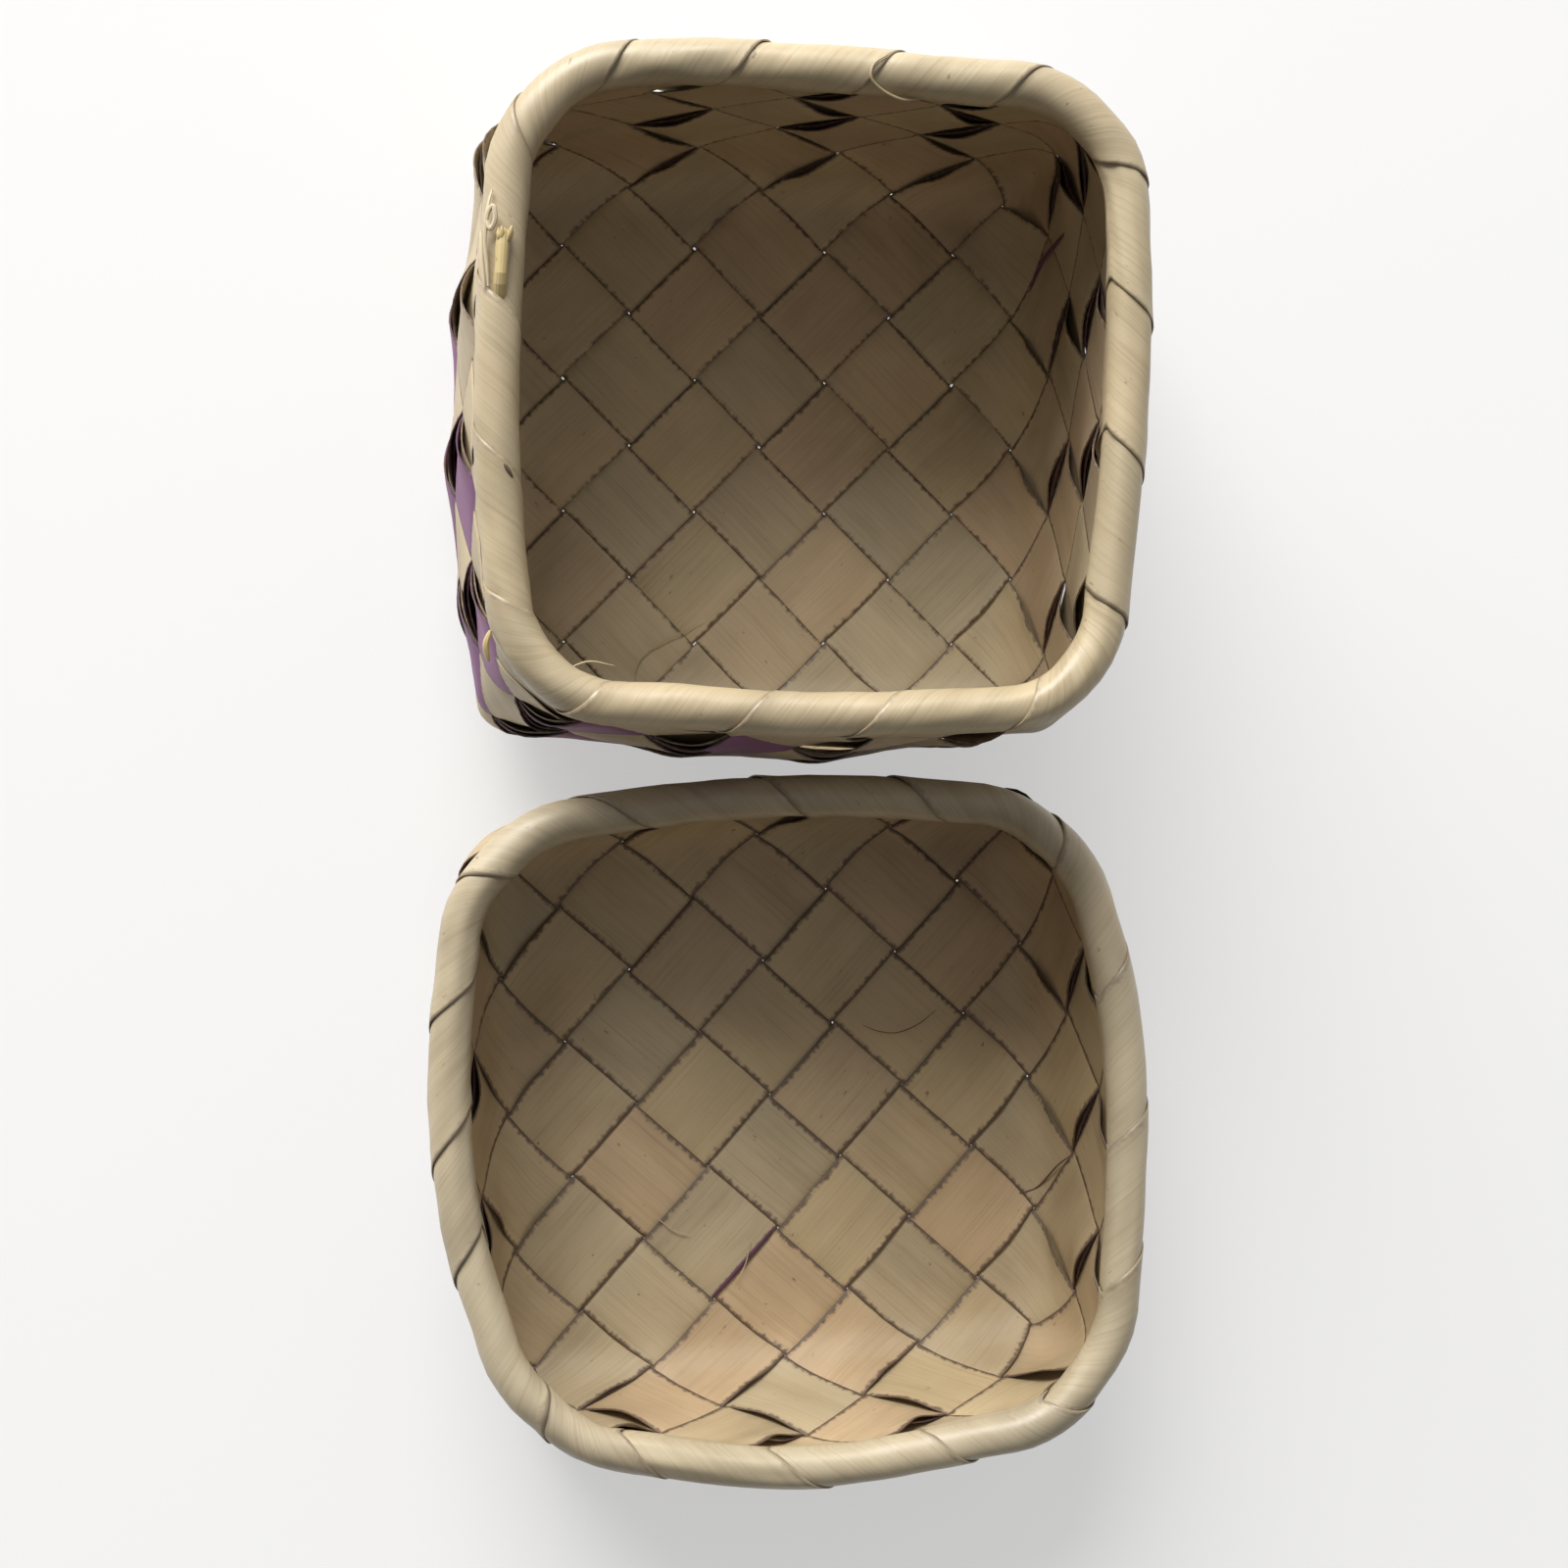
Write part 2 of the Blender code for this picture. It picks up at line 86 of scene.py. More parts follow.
# The rolled rim and the way up to it
ROLL = 0.0034  # radius of the rolled rim, at its leaf
ROLL_START = math.radians(-30.0)
ROLL_END = math.radians(212.0)
ROLL_STEPS = 26
ROLL_SETTLE = math.radians(60.0)  # how far round the roll a fold takes its own place
LEAN_POWER = 2.2  # how late the wall leans in to meet the roll
SLIP = 0.33  # how far a fold slips along the rim as it leaves the wall, in diamonds
SLIP_FROM = 0.2  # diamonds below the rim where it starts to slip
SLIP_TO = 0.0045  # metres past the rim where it has slipped
ROLL_SLIP = 0.85  # how far it slips on the roll, for each metre round it
TUCK = 0.07  # how far its hidden edge goes on under the next fold, in diamonds
TUCK_DEPTH = 0.00022
FOLD_LUMP = 0.00016  # how uneven a fold is
FOLD_STEP = (0.00026, -0.0001)  # how far a fold's upper edge lies over its lower one, and from where
FOLD_CURL = 0.00006  # how far its upper edge stands up
TAIL_STEPS = 9
TAIL_AWAY = 0.0010  # how far a fold's pointed end stands off the wall
TAIL_NARROWS = 0.985  # the share of its width that it loses

# The rounded folds
FOLD_ROUND = 0.0009  # how far the plait's own creases are rounded, to each side
FOLD_TAPS = (-1.0, -0.67, -0.33, 0.0, 0.33, 0.67, 1.0)
FLOOR_REACH = 0.0068  # how far the round between the floor and a wall reaches, to each side
FLOOR_PULL = 0.0014  # how far it draws the fold in
FLOOR_LIFT = 0.0018  # and up
FLOOR_POWER = 1.8
CORNER_PULL = 0.0032  # how far the floor's corners are drawn in besides
CORNER_LIFT = 0.0006
CORNER_REACH = 0.009

# The walls' outline
GROWTH_POWER = 0.8  # how early the corners and the bow grow with the height
BEND_POWER = 1.6  # how late the rim's bends do
BEND_SAMPLES = 512
BEND_BLUR = 14.0  # samples over which the rim's bends are smoothed

# The midrib in the rim
STICK_RADIUS = 0.0011
STICK_START = 8.97  # diamonds round the rim
STICK_GAP = 0.004
STICK_POINTS = 260
STICK_LIFT = 0.0047  # how far its open end stands up out of the base's rim
FRAY_COUNT = 14

# Where the grid lines of one crossing lie, as shares of it, the same along and across
LINES = (0.0, 0.035, 0.09, 0.17, 0.27, 0.385, 0.5, 0.615, 0.73, 0.83, 0.91, 0.965)
RIM_LINES = 18  # grid lines from the last crossing's border to the rim
DYED_RIM_LINES = 6  # those of them that a dyed leaf has
CELLS = 64  # crossings that have a number, half of them below 0


def smooth(x):
    x = np.clip(x, 0.0, 1.0)
    return x * x * (3 - 2 * x)


def wave(seed, *coords):
    """A smooth field between about -1 and 1, from a few sines of fixed random directions."""
    rng = np.random.RandomState(seed)
    total = 0.0
    for octave in range(4):
        direction = rng.uniform(-1, 1, len(coords)) * (1.0 + 0.7 * octave)
        phase = rng.uniform(0, math.tau)
        total = total + np.sin(sum(d * c for d, c in zip(direction, coords)) * 3.0 + phase)
    return total / 2.6


class Half:
    """One half of the box, with the surface that its strips follow."""

    def __init__(
        self, name, diamond, centre, yaw, spreads, heights, corner, bow, oblong, turn, bends, belly=None
    ):
        self.name = name
        self.diamond = diamond
        self.pitch = diamond / math.sqrt(2)
        self.centre = centre
        self.yaw = yaw
        self.half = FLOOR_DIAMONDS / 2 * diamond
        self.spreads = np.array(spreads) * diamond
        self.heights = np.array(heights)
        self.rows = len(spreads) - 1
        self.rim = self.rows * diamond / 2
        self.corner = corner * diamond
        self.bow = bow * diamond
        self.oblong = oblong
        self.turn = turn  # 1 if the strips that rise anticlockwise fold over the rim
        self.belly = belly
        self.rim_spread = self.spreads[-1]
        self.rim_height = self.heights[-1] - math.sin(ROLL_START) * ROLL
        # the rim's own bends, as one smooth closed curve
        places = np.arange(BEND_SAMPLES) / BEND_SAMPLES * SEAM_COUNT
        dense = np.interp(places, bends[0], np.array(bends[1]) / 1000, period=SEAM_COUNT)
        reach = np.arange(-40, 41)
        weights = np.exp(-((reach / BEND_BLUR) ** 2))
        weights /= weights.sum()
        self.bends = sum(w * np.roll(dense, r) for w, r in zip(weights, reach))

    def profile(self, rise):
        """Spread and height at a length up the wall, on one smooth curve through the rows."""
        place = np.clip(rise / (self.diamond / 2), 0, self.rows)
        row = np.minimum(place.astype(int), self.rows - 1)
        t = place - row
        found = []
        for levels in (self.spreads, self.heights):
            slopes = np.empty_like(levels)
            slopes[1:-1] = (levels[2:] - levels[:-2]) / 2
            slopes[0] = levels[1] - levels[0]
            slopes[-1] = levels[-1] - levels[-2]
            low, high = levels[row], levels[row + 1]
            m, n = slopes[row], slopes[row + 1]
            found.append(
                (2 * t**3 - 3 * t**2 + 1) * low + (t**3 - 2 * t**2 + t) * m
                + (3 * t**2 - 2 * t**3) * high + (t**3 - t**2) * n
            )
        return found

    def bend(self, along):
        """How far the rim stands out from its even outline."""
        place = along / self.diamond / SEAM_COUNT * BEND_SAMPLES
        return np.interp(place, np.arange(BEND_SAMPLES), self.bends, period=BEND_SAMPLES)

    def ring(self, along, spread, grown):
        """A point of the outline and its outward direction."""
        side_length = 2 * self.half
        side = np.floor(along / side_length)
        reach = (along - (side + 0.5) * side_length) / self.half
        corner = np.maximum(grown * self.corner, 1e-4)
        straight = self.half + spread - corner
        way = np.abs(reach) * (straight + math.pi / 4 * corner)
        angle = np.maximum(way - straight, 0) / corner
        sign = np.where(reach < 0, -1.0, 1.0)
        ox, oy = np.cos(angle), sign * np.sin(angle)
        px = straight + corner * ox
        py = sign * np.minimum(way, straight) + corner * oy
        bow = self.bow * grown * (1 - reach**2) + self.bend(along) * grown**BEND_POWER
        if self.belly:
            out = np.interp(along / self.diamond, self.belly[0], self.belly[1], period=SEAM_COUNT) / 1000
            bow = bow + out * 4 * grown * (1 - grown)
        px, py = px + ox * bow, py + oy * bow
        c, s = np.cos(side * math.pi / 2), np.sin(side * math.pi / 2)
        px, py = c * px - s * py, s * px + c * py
        ox, oy = c * ox - s * oy, s * ox + c * oy
        return px * (1 - self.oblong * grown), py * (1 + self.oblong * grown), ox, oy

    def outer_wall(self, along, rise, away):
        """The wall's middle surface, moved outwards."""
        spread, height = self.profile(rise)
        grown = np.clip(rise / self.rim, 0, 1) ** GROWTH_POWER
        x, y, ox, oy = self.ring(along, spread, grown)
        return np.stack([x + ox * away, y + oy * away, height], -1)

    def wall(self, along, rise):
        """The wall's middle surface, leaning in over the last half row to meet the roll."""
        top = np.clip((rise - self.rim) / (self.diamond / 2) + 1, 0, 1)
        return self.outer_wall(along, rise, -math.cos(ROLL_START) * ROLL * top**LEAN_POWER)

    def roll(self, along, angle, radius):
        """A place on the rolled rim; the angle is 0 at its inner side and grows upwards."""
        x, y, ox, oy = self.ring(along, np.full_like(along, self.rim_spread), 1.0)
        inward = np.cos(angle) * radius
        up = np.sin(angle) * radius
        return np.stack([x - ox * inward, y - oy * inward, self.rim_height + up + 0 * x], -1)

    def unfold(self, x, y):
        """Where a place of the flat sheet comes to lie: along the wall and up it, or on the floor."""
        side_length = 2 * self.half
        far_x = np.abs(x) >= np.abs(y)
        along = np.where(
            far_x,
            np.where(x > 0, y + self.half, 2 * side_length + self.half - y),
            np.where(y > 0, side_length + self.half - x, 3 * side_length + self.half + x),
        )
        return along, np.maximum(np.abs(x), np.abs(y)) - self.half

    def surface(self, x, y, turn):
        """The folded place of each point of the sheet."""
        along, rise = self.unfold(x, y)
        flat = np.stack([x, y, np.full_like(x, self.heights[0])], -1)
        over = np.maximum(rise - self.rim, 0)
        on_wall = self.wall(along + turn * self.lead(rise), np.minimum(rise, self.rim))
        on_roll = self.roll(along + turn * self.lead(rise), ROLL_START + over / ROLL, ROLL)
        up = np.where((rise > self.rim)[..., None], on_roll, on_wall)
        return self.rounded(np.where((rise < 0)[..., None], flat, up))

    def rounded(self, points):
        """The folds at the floor's edge and its four corners drawn in and up, as the plait rounds them."""
        x, y, z = points[..., 0], points[..., 1], points[..., 2]
        up = 1.04 * np.maximum(z - self.heights[0], 0)
        near_x, near_y = (
            np.clip(1 - (np.maximum(self.half - np.abs(w), 0) + up) / FLOOR_REACH, 0, 1) ** FLOOR_POWER
            for w in (x, y)
        )
        x = x - np.sign(x) * FLOOR_PULL * near_x
        y = y - np.sign(y) * FLOOR_PULL * near_y
        z = z + FLOOR_LIFT * (1 - (1 - near_x) * (1 - near_y))
        off = np.hypot(np.abs(x) - self.half, np.abs(y) - self.half)
        near = np.exp(-((off / CORNER_REACH) ** 2) - (np.maximum(z, 0) / CORNER_REACH) ** 2)
        pull = CORNER_PULL * near / math.sqrt(2)
        return np.stack([x - np.sign(x) * pull, y - np.sign(y) * pull, z + CORNER_LIFT * near], -1)

    def lead(self, rise):
        """How far a fold slips along the rim as it leaves the wall."""
        low, high = self.rim - SLIP_FROM * self.diamond, self.rim + SLIP_TO
        return SLIP * self.diamond * smooth((rise - low) / (high - low))

    def to_frame(self, points):
        """From the half's own place, its floor's middle at 0, to the frame of the model."""
        c, s = math.cos(self.yaw), math.sin(self.yaw)
        x, y = points[..., 0], points[..., 1]
        return np.stack([c * x - s * y + self.centre[0], s * x + c * y + self.centre[1], points[..., 2]], -1)


# How far the rim stands out from its even outline: places in diamonds round it, and millimetres
BASE_BENDS = (
    (0.2, 0.55, 1.5, 2.5, 3.5, 4.05, 4.4, 5.1, 5.7, 6.3, 7.2, 7.55, 7.95, 8.3, 9.0, 9.8, 10.6, 11.2,
     11.7, 12.0, 12.4, 13.0, 13.5, 13.9, 14.3, 15.5, 15.9),
    (-3.2, -3.0, -0.5, 0.8, 0.9, 0.1, 0.3, 0.1, 1.0, 1.4, 2.2, 0.5, -0.9, -1.6, -0.6, 0.0, 0.0, -1.0,
     -2.0, -2.8, -2.6, -2.6, -2.0, -1.2, -1.4, -1.9, -2.6),
)
LID_BENDS = (
    (0.35, 0.86, 1.93, 2.46, 3.04, 3.42, 3.93, 4.49, 4.9, 5.43, 6.09, 6.62, 7.27, 7.65, 8.04, 8.4,
     8.81, 9.26, 10.16, 10.75, 11.15, 11.5, 12.23, 12.6, 12.99, 13.64, 14.1, 14.44, 15.12, 15.63),
    (-2.8, -1.8, 0.2, 0.15, -1.1, -4.1, -4.7, -4.7, -4.0, -2.5, -1.9, -1.9, -2.7, -2.9, -2.0, -1.9,
     -1.25, 0.8, 0.85, 0.0, -3.7, -5.7, -6.1, -4.2, -2.0, 0.9, 2.4, 1.2, 0.0, -0.75),
)

# How far the base's walls stand out half way up: places in diamonds round it, and millimetres
BASE_BELLY = (
    (0.0, 7.8, 8.3, 8.8, 9.3, 9.8, 10.4, 11.0, 11.5, 12.1, 12.7, 13.3, 14.0, 14.6, 15.1, 15.5),
    (0.0, 0.0, -1.2, 0.3, 3.2, 3.3, 3.5, 2.6, 0.6, -1.5, 1.2, 3.0, 3.9, 3.4, 1.6, 0.0),
)

BASE = Half(
    "base", BASE_DIAMOND, BASE_CENTRE, 0.0, (0, 0.145, 0.175, 0.16, 0.135, 0.1, 0.045),
    (0.0009, 0.013081, 0.025786, 0.038508, 0.05122, 0.063917, 0.074354), 0.7, 0.05, 0.008, -1,
    BASE_BENDS, BASE_BELLY,
)
LID = Half(
    "lid", LID_DIAMOND, LID_CENTRE, LID_YAW, (0, 0.145, 0.2, 0.24),
    (0.0009, 0.013474, 0.026534, 0.037308), 0.85, 0.1, 0.0, 1,
    LID_BENDS,
)

# How far each seam of the rim stands from its even place, in diamonds, counted anticlockwise
# from the right side's low end, for its inner and outer end
SEAMS = {
    "base": (
        (0.05, 0.08), (0.09, 0.22), (0.27, 0.2), (0.31, 0.24), (0.1, 0.26), (0.16, 0.1),
        (0.15, 0.13), (0.06, 0.08), (-0.08, -0.02), (-0.17, -0.24), (-0.05, -0.08), (0.0, -0.08),
        (-0.1, 0.02), (-0.1, -0.02), (0.1, 0.08), (0.0, -0.06),
    ),
    "lid": (
        (-0.22, -0.22), (-0.24, -0.24), (-0.22, -0.15), (-0.17, -0.17), (-0.01, 0.0),
        (-0.08, -0.08), (-0.1, 0.13), (0.14, 0.01), (-0.05, -0.03), (-0.24, -0.05), (-0.45, -0.3),
        (-0.05, -0.06), (-0.23, -0.23), (-0.27, -0.11), (-0.16, -0.12), (-0.3, -0.3),
    ),
}

# How far the upper edge of a cell gapes, in millimetres, for the cells that stand open inside the
# walls: the strip, and the crossing it starts at
GAPES = {
    "base": {
        "a1": {2: 1.3, 4: 1.1}, "a2": {1: 1.2, 3: 1.1, 5: 1.2}, "a3": {2: 1.5, 4: 1.4, 6: 0.8},
        "a4": {3: 1.5, 5: 2.3, 7: 1.6}, "a5": {2: 0.4, 4: 1.3, 6: 1.5, 8: 0.8},
        "a6": {3: 0.5, 5: 1.4, 7: 1.2}, "a7": {0: 0.7, 2: 1.5, 4: 1.0}, "a8": {1: 0.8, 3: 1.2, 5: 1.2},
        "b3": {7: 0.9}, "b4": {-8: 0.25, 4: 0.8, 6: 1.3, 8: 1.1}, "b5": {3: 1.0},
        "b6": {-4: 0.9, 0: 0.5, 2: 1.5, 4: 1.9}, "b7": {-5: 0.25, -3: 0.3, 1: 0.9, 3: 1.2, 5: 1.0},
        "b8": {-6: 0.35, -4: 1.0, -2: 0.8, 0: 1.6, 2: 1.9, 4: 1.7},
    },
    "lid": {
        "a2": {-3: 1.6, -1: 1.3, 1: 1.2}, "a3": {-4: 1.8, -2: 0.7, 2: 1.4},
        "a4": {-3: 1.3, -1: 0.9, 1: 0.5, 3: 1.2, 5: 1.2}, "a5": {-6: 1.6, -4: 0.7, -2: 0.5},
        "a6": {-5: 1.9, -3: 1.1, -1: 1.0, 1: 0.9, 3: 1.1},
        "a7": {-4: 1.8, -2: 0.8, 0: 0.9, 2: 1.7, 4: 1.2}, "a8": {-3: 1.8, 1: 1.5},
        "b1": {-3: 0.8, 1: 1.4}, "b2": {-4: 1.1, -2: 1.2, 2: 1.1}, "b3": {-3: 0.6, 3: 1.2},
        "b4": {-4: 1.1, 4: 2.1}, "b5": {3: 1.3, 5: 1.5}, "b6": {2: 0.9, 4: 1.6},
        "b7": {1: 1.3, 3: 1.5}, "b8": {0: 1.4, 2: 1.6},
    },
}

# Cells of a stronger colour than their neighbours: their tone, and the crossings they start at
STRONG_CELLS = (
    ((0.3, 0.6, 0.0), {  # peach
        "base": {"a3": (0,), "a8": (1,), "b6": (-2, 2), "b7": (-1, 3)},
        "lid": {"a5": (2,), "a6": (-3,), "a7": (-2, 0), "b1": (1,), "b3": (-1, 1)},
    }),
    ((0.15, 0.0, 0.0), {  # olive
        "base": {"a4": (-1,), "a5": (-2,), "b5": (3,)},
        "lid": {"a2": (1, -1), "a4": (-1, 1), "a6": (-1, 1), "a7": (2,)},
    }),
    ((0.5, 0.0, 0.5), {  # grey
        "base": {"a7": (0,), "b3": (-1,), "b5": (1,)},
        "lid": {"a4": (-3,), "a5": (-2, -4), "b2": (0, 2), "b4": (-4, 0, -2), "b5": (3,)},
    }),
)


def grid_mesh(name, inner, outer, attributes, upper_inside):
    """A closed thin leaf between two grids of points, with its edge walls flat shaded."""
    rows, columns = inner.shape[:2]
    count = rows * columns
    index = np.arange(count).reshape(rows, columns)
    a, b, c, d = index[:-1, :-1], index[:-1, 1:], index[1:, 1:], index[1:, :-1]
    top = np.stack([a, b, c, d], -1).reshape(-1, 4)
    low = top[:, ::-1] + count
    ring = np.concatenate([index[0, :], index[1:, -1], index[-1, -2::-1], index[-2:0:-1, 0]])
    following = np.roll(ring, -1)
    wall = np.stack([following, ring, ring + count, following + count], -1)
    faces = np.concatenate([top, low, wall]).astype(np.int32)
    points = np.concatenate([inner.reshape(-1, 3), outer.reshape(-1, 3)])
    mesh = bpy.data.meshes.new(name)
    mesh.vertices.add(len(points))
    mesh.vertices.foreach_set("co", points.astype(np.float32).ravel())
    mesh.loops.add(faces.size)
    mesh.loops.foreach_set("vertex_index", faces.ravel())
    mesh.polygons.add(len(faces))
    mesh.polygons.foreach_set("loop_start", np.arange(0, faces.size, 4, dtype=np.int32))
    mesh.update(calc_edges=True)
    flat = np.zeros(len(faces), bool)
    flat[len(top) + len(low):] = True
    mesh.attributes.new("sharp_face", "BOOLEAN", "FACE").data.foreach_set("value", flat)
    side = np.concatenate([np.full(count, float(upper_inside)), np.full(count, 1.0 - upper_inside)])
    mesh.attributes.new("inside", "FLOAT", "POINT").data.foreach_set("value", side.astype(np.float32))
    for label, values in attributes.items():
        both = np.concatenate([values.reshape(-1, 3), values.reshape(-1, 3)])
        vector_attribute(mesh, label, both)
    mesh.validate()
    return mesh


def vector_attribute(mesh, label, values):
    """A value for each point of a mesh, for its material to read."""
    made = mesh.attributes.new(label, "FLOAT_VECTOR", "POINT")
    made.data.foreach_set("vector", values.astype(np.float32).ravel())


def normals_of(points, flip):
    across = np.gradient(points, axis=1)
    along = np.gradient(points, axis=0)
    normal = np.cross(across, along) * (-1 if flip else 1)
    return normal / np.maximum(np.linalg.norm(normal, axis=-1, keepdims=True), 1e-12)


class Strip:
    """One strip of leaf, from one end to the other, as a grid of lines across it."""

    def __init__(self, half, family, lane):
        self.half = half
        self.family = family
        self.lane = lane
        self.columns = np.array(LINES + (1.0,)) - 0.5

    def flat(self, across, cross):
        """The place on the flat sheet, for lane and crossing coordinates in diamonds."""
        d = self.half.diamond
        a, b = (across, cross) if self.family == "a" else (cross, across)
        return (a + b) / 2 * d, (b - a) / 2 * d

    def end_turn(self, sign):
        """Which way this end rises round the box."""
        turn = 1 if (sign > 0) == (self.lane > 0) else -1
        return turn if self.family == "a" else -turn

    def lines(self):
        """The crossing coordinate of each grid line, for each column, up to both rims."""
        border = FLOOR_DIAMONDS - abs(self.lane) + self.half.rows - 0.5  # the last below the rim
        crossings = range(int(round(-border)) + 1, int(round(border)) - 1)
        body = np.array([k + t for k in crossings for t in LINES] + [border - 1])
        grid = np.repeat(body[:, None], len(self.columns), 1)
        rim = FLOOR_DIAMONDS - np.abs(self.lane + self.columns) + self.half.rows
        shares = np.linspace(0, 1, RIM_LINES + 1)[1:]
        high = (border - 1) + shares[:, None] * (rim - (border - 1))[None, :]
        return np.concatenate([-high[::-1], grid, high])


def open_cells(half, leaf):
    """How far each crossing of a strip gapes by the table, in metres."""
    opened = np.zeros(CELLS)
    for start, amount in GAPES[half.name].get(leaf, {}).items():
        opened[start + CELLS // 2] = amount / 1000
    return opened


def cell_tones(half, leaf, chances):
    """The tone of each crossing of a strip: how light, how warm and how plain it is."""
    tones = np.array([[chance[2], 0.75 * chance[3], 0.35 * chance[1]] for chance in chances])
    for tone, cells in STRONG_CELLS:
        for start in cells[half.name].get(leaf, ()):
            tones[start + CELLS // 2] = tone
    return tones


def build_strip(half, family, number, dyed, seed):
    """A strip's upper and lower grid of points, and the values that its material reads."""
    lane = number - 0.5 - FLOOR_DIAMONDS
    leaf = f"{family}{number}"
    strip = Strip(half, family, lane)
    cross = strip.lines()
    if dyed:  # it ends not far past the last full crossing
        cut = RIM_LINES - DYED_RIM_LINES
        cross = cross[cut:-cut]
    d = half.diamond
    columns = strip.columns
    # which crossing each line is in, how far along it, and on which side the strip lies there
    cell = np.floor(cross)
    part = cross - cell
    near = np.minimum(part, 1 - part)
    bulge = np.sin(math.pi * part)
    inside = np.round(lane + cell - 0.5) % 2 == (0 if family == "a" else 1)
    side = np.where(inside, 1.0, -1.0)
    # the edges run a little uneven and stay back from the line between two strips
    inset = EDGE_GAP[half.name] / half.pitch
    drift = inset * wave(seed + 7, cross * 0.9, columns[None, :] * 0.3)
    edge = np.where(columns < 0, -1.0, 1.0)[None, :]
    ragged = EDGE_RAGGED / half.pitch * wave(seed + 11, cross * 9.0, edge * 5.0)
    wide = 1 - 2 * inset
    if dyed:
        wide = wide - 2 * DYED_GAP / half.pitch
    across = lane + columns[None, :] * (wide + ragged) + drift
    if dyed:
        across = across + (DYED_GAP / half.pitch) * wave(seed + 13, cross * 0.5)
    # no strip crosses the diagonal through the floor's corners
    across = np.maximum(across, CORNER_LIMIT) if lane > 0 else np.minimum(across, -CORNER_LIMIT)
    turns = np.where(cross > 0, strip.end_turn(1), strip.end_turn(-1))
    wrap = turns == half.turn
    # the folded middle surface, with the creases rounded by a small average along the strip
    total = 0.0
    for tap in FOLD_TAPS:
        x, y = strip.flat(across, cross + tap * FOLD_ROUND / half.pitch)
        total = total + half.surface(x, y, turns * wrap)
    points = total / len(FOLD_TAPS)
    x, y = strip.flat(across, cross)
    along, rise = half.unfold(x, y)
    level = np.clip(rise / half.rim, 0, 1)
    on_wall = smooth(rise / (GAPE_FADE * d))

    # offsets from the middle surface, positive to the inside of the box
    chances = np.random.RandomState(seed + 101).uniform(0, 1, (CELLS, 4))
    numbers = (cell + CELLS // 2).astype(int) % CELLS
    chance = chances[numbers]
    hidden = np.where((half is BASE) & (along > HIDDEN_FROM * d), 1.0, 0.0)
    strong = np.where(chance[..., 1] > 0.5, HIDDEN_GAPES[1], HIDDEN_GAPES[0]) * hidden
    inner_gape = (SMALL_GAPE + chance[..., 0] * CHANCE_GAPE + strong * level) * on_wall * bulge**1.3
    opened = open_cells(half, leaf)[numbers]
    inner_gape = inner_gape + opened * np.sqrt(bulge) * bulge * np.maximum(on_wall, 0.45)
    outer_gape = (OUTSIDE_GAPE + OUTSIDE_GAPE_UP * level * (0.5 + 0.5 * chance[..., 1])) * on_wall * bulge
    gape = np.where(inside, inner_gape, outer_gape)
    gape = gape * smooth((half.rim - rise) / (GAPE_FADE * d))
    if dyed:
        gape = gape * np.where(inside, 0.45, 1.0)
    elif family == "a":
        gape = gape * np.where(inside, 1.0, 0.7)
    upward = columns[None, :] * np.sign(lane)
    upper = np.clip((upward + 0.5 - UPPER_EDGE) / (1 - UPPER_EDGE), 0, 1)
    lower = np.clip((-upward + 0.5 - UPPER_EDGE) / (1 - UPPER_EDGE), 0, 1)
    curl = FLOOR_CURL * (1 - on_wall) * bulge * (upper**2 * chance[..., 2] + lower**2 * chance[..., 3])
    pillow = PILLOW * np.cos(math.pi * columns[None, :]) * bulge
    offset = side * (smooth(near / STEP_SHARE) * LAYER + gape * upper**1.7 + curl + pillow)
    if family == "a":  # a natural "/" leaf and its dyed leaf share one layer
        offset = offset + (-LAYER / 2 if dyed else LAYER / 2)
    offset = offset + RIDGE * wave(seed + 17, columns[None, :] * 9.0, cross * 0.35)
    offset = offset + WARP * wave(WARP_SEED, x / d * 0.8, y / d * 0.8)

    tone = cell_tones(half, leaf, chances)[numbers]
    if dyed:  # half of each dyed leaf, the part towards the front or the back wall, took no dye
        plain = np.where(cross * lane < 0, smooth((rise + 0.002) / 0.004), 0.0)
        tone = tone * (1.0, 1.0, 0.0) + plain[..., None] * (0.0, 0.0, 1.0)
    place = np.stack([columns[None, :] * half.pitch + 0 * cross, cross * half.pitch, 0 * cross + seed], -1)
    sheets = [(points, offset, tone, place, 0 * place)]
    for sign in (1, -1):
        if dyed or strip.end_turn(sign) != half.turn:
            continue
        line = -1 if sign > 0 else 0
        rim_points, rim_offset, run = wrap_end(half, along[line], seed)
        rim_tone = np.repeat((tone[line] * (0.5, 0.45, 0.5) + (0.2, 0.0, 0.0))[None], len(run), 0)
        rim_place = np.repeat(place[line][None], len(run), 0)
        rim_place[..., 1] += sign * run[:, None]
        sheet = (rim_points, rim_offset, rim_tone, rim_place, 0 * rim_place + 1)
        if sign > 0:
            sheets.append(sheet)
        else:
            sheets.insert(0, tuple(values[::-1] for values in sheet))
    points, offset, tone, place, rolled = (np.concatenate(values) for values in zip(*sheets))
    normal = normals_of(points, family == "b")
    inner = points + normal * (offset + LEAF / 2)[..., None]
    outer = points + normal * (offset - LEAF / 2)[..., None]
    top, low = (outer, inner) if family == "b" else (inner, outer)
    return half.to_frame(top), half.to_frame(low), {"tone": tone, "leaf": place, "rolled": rolled}


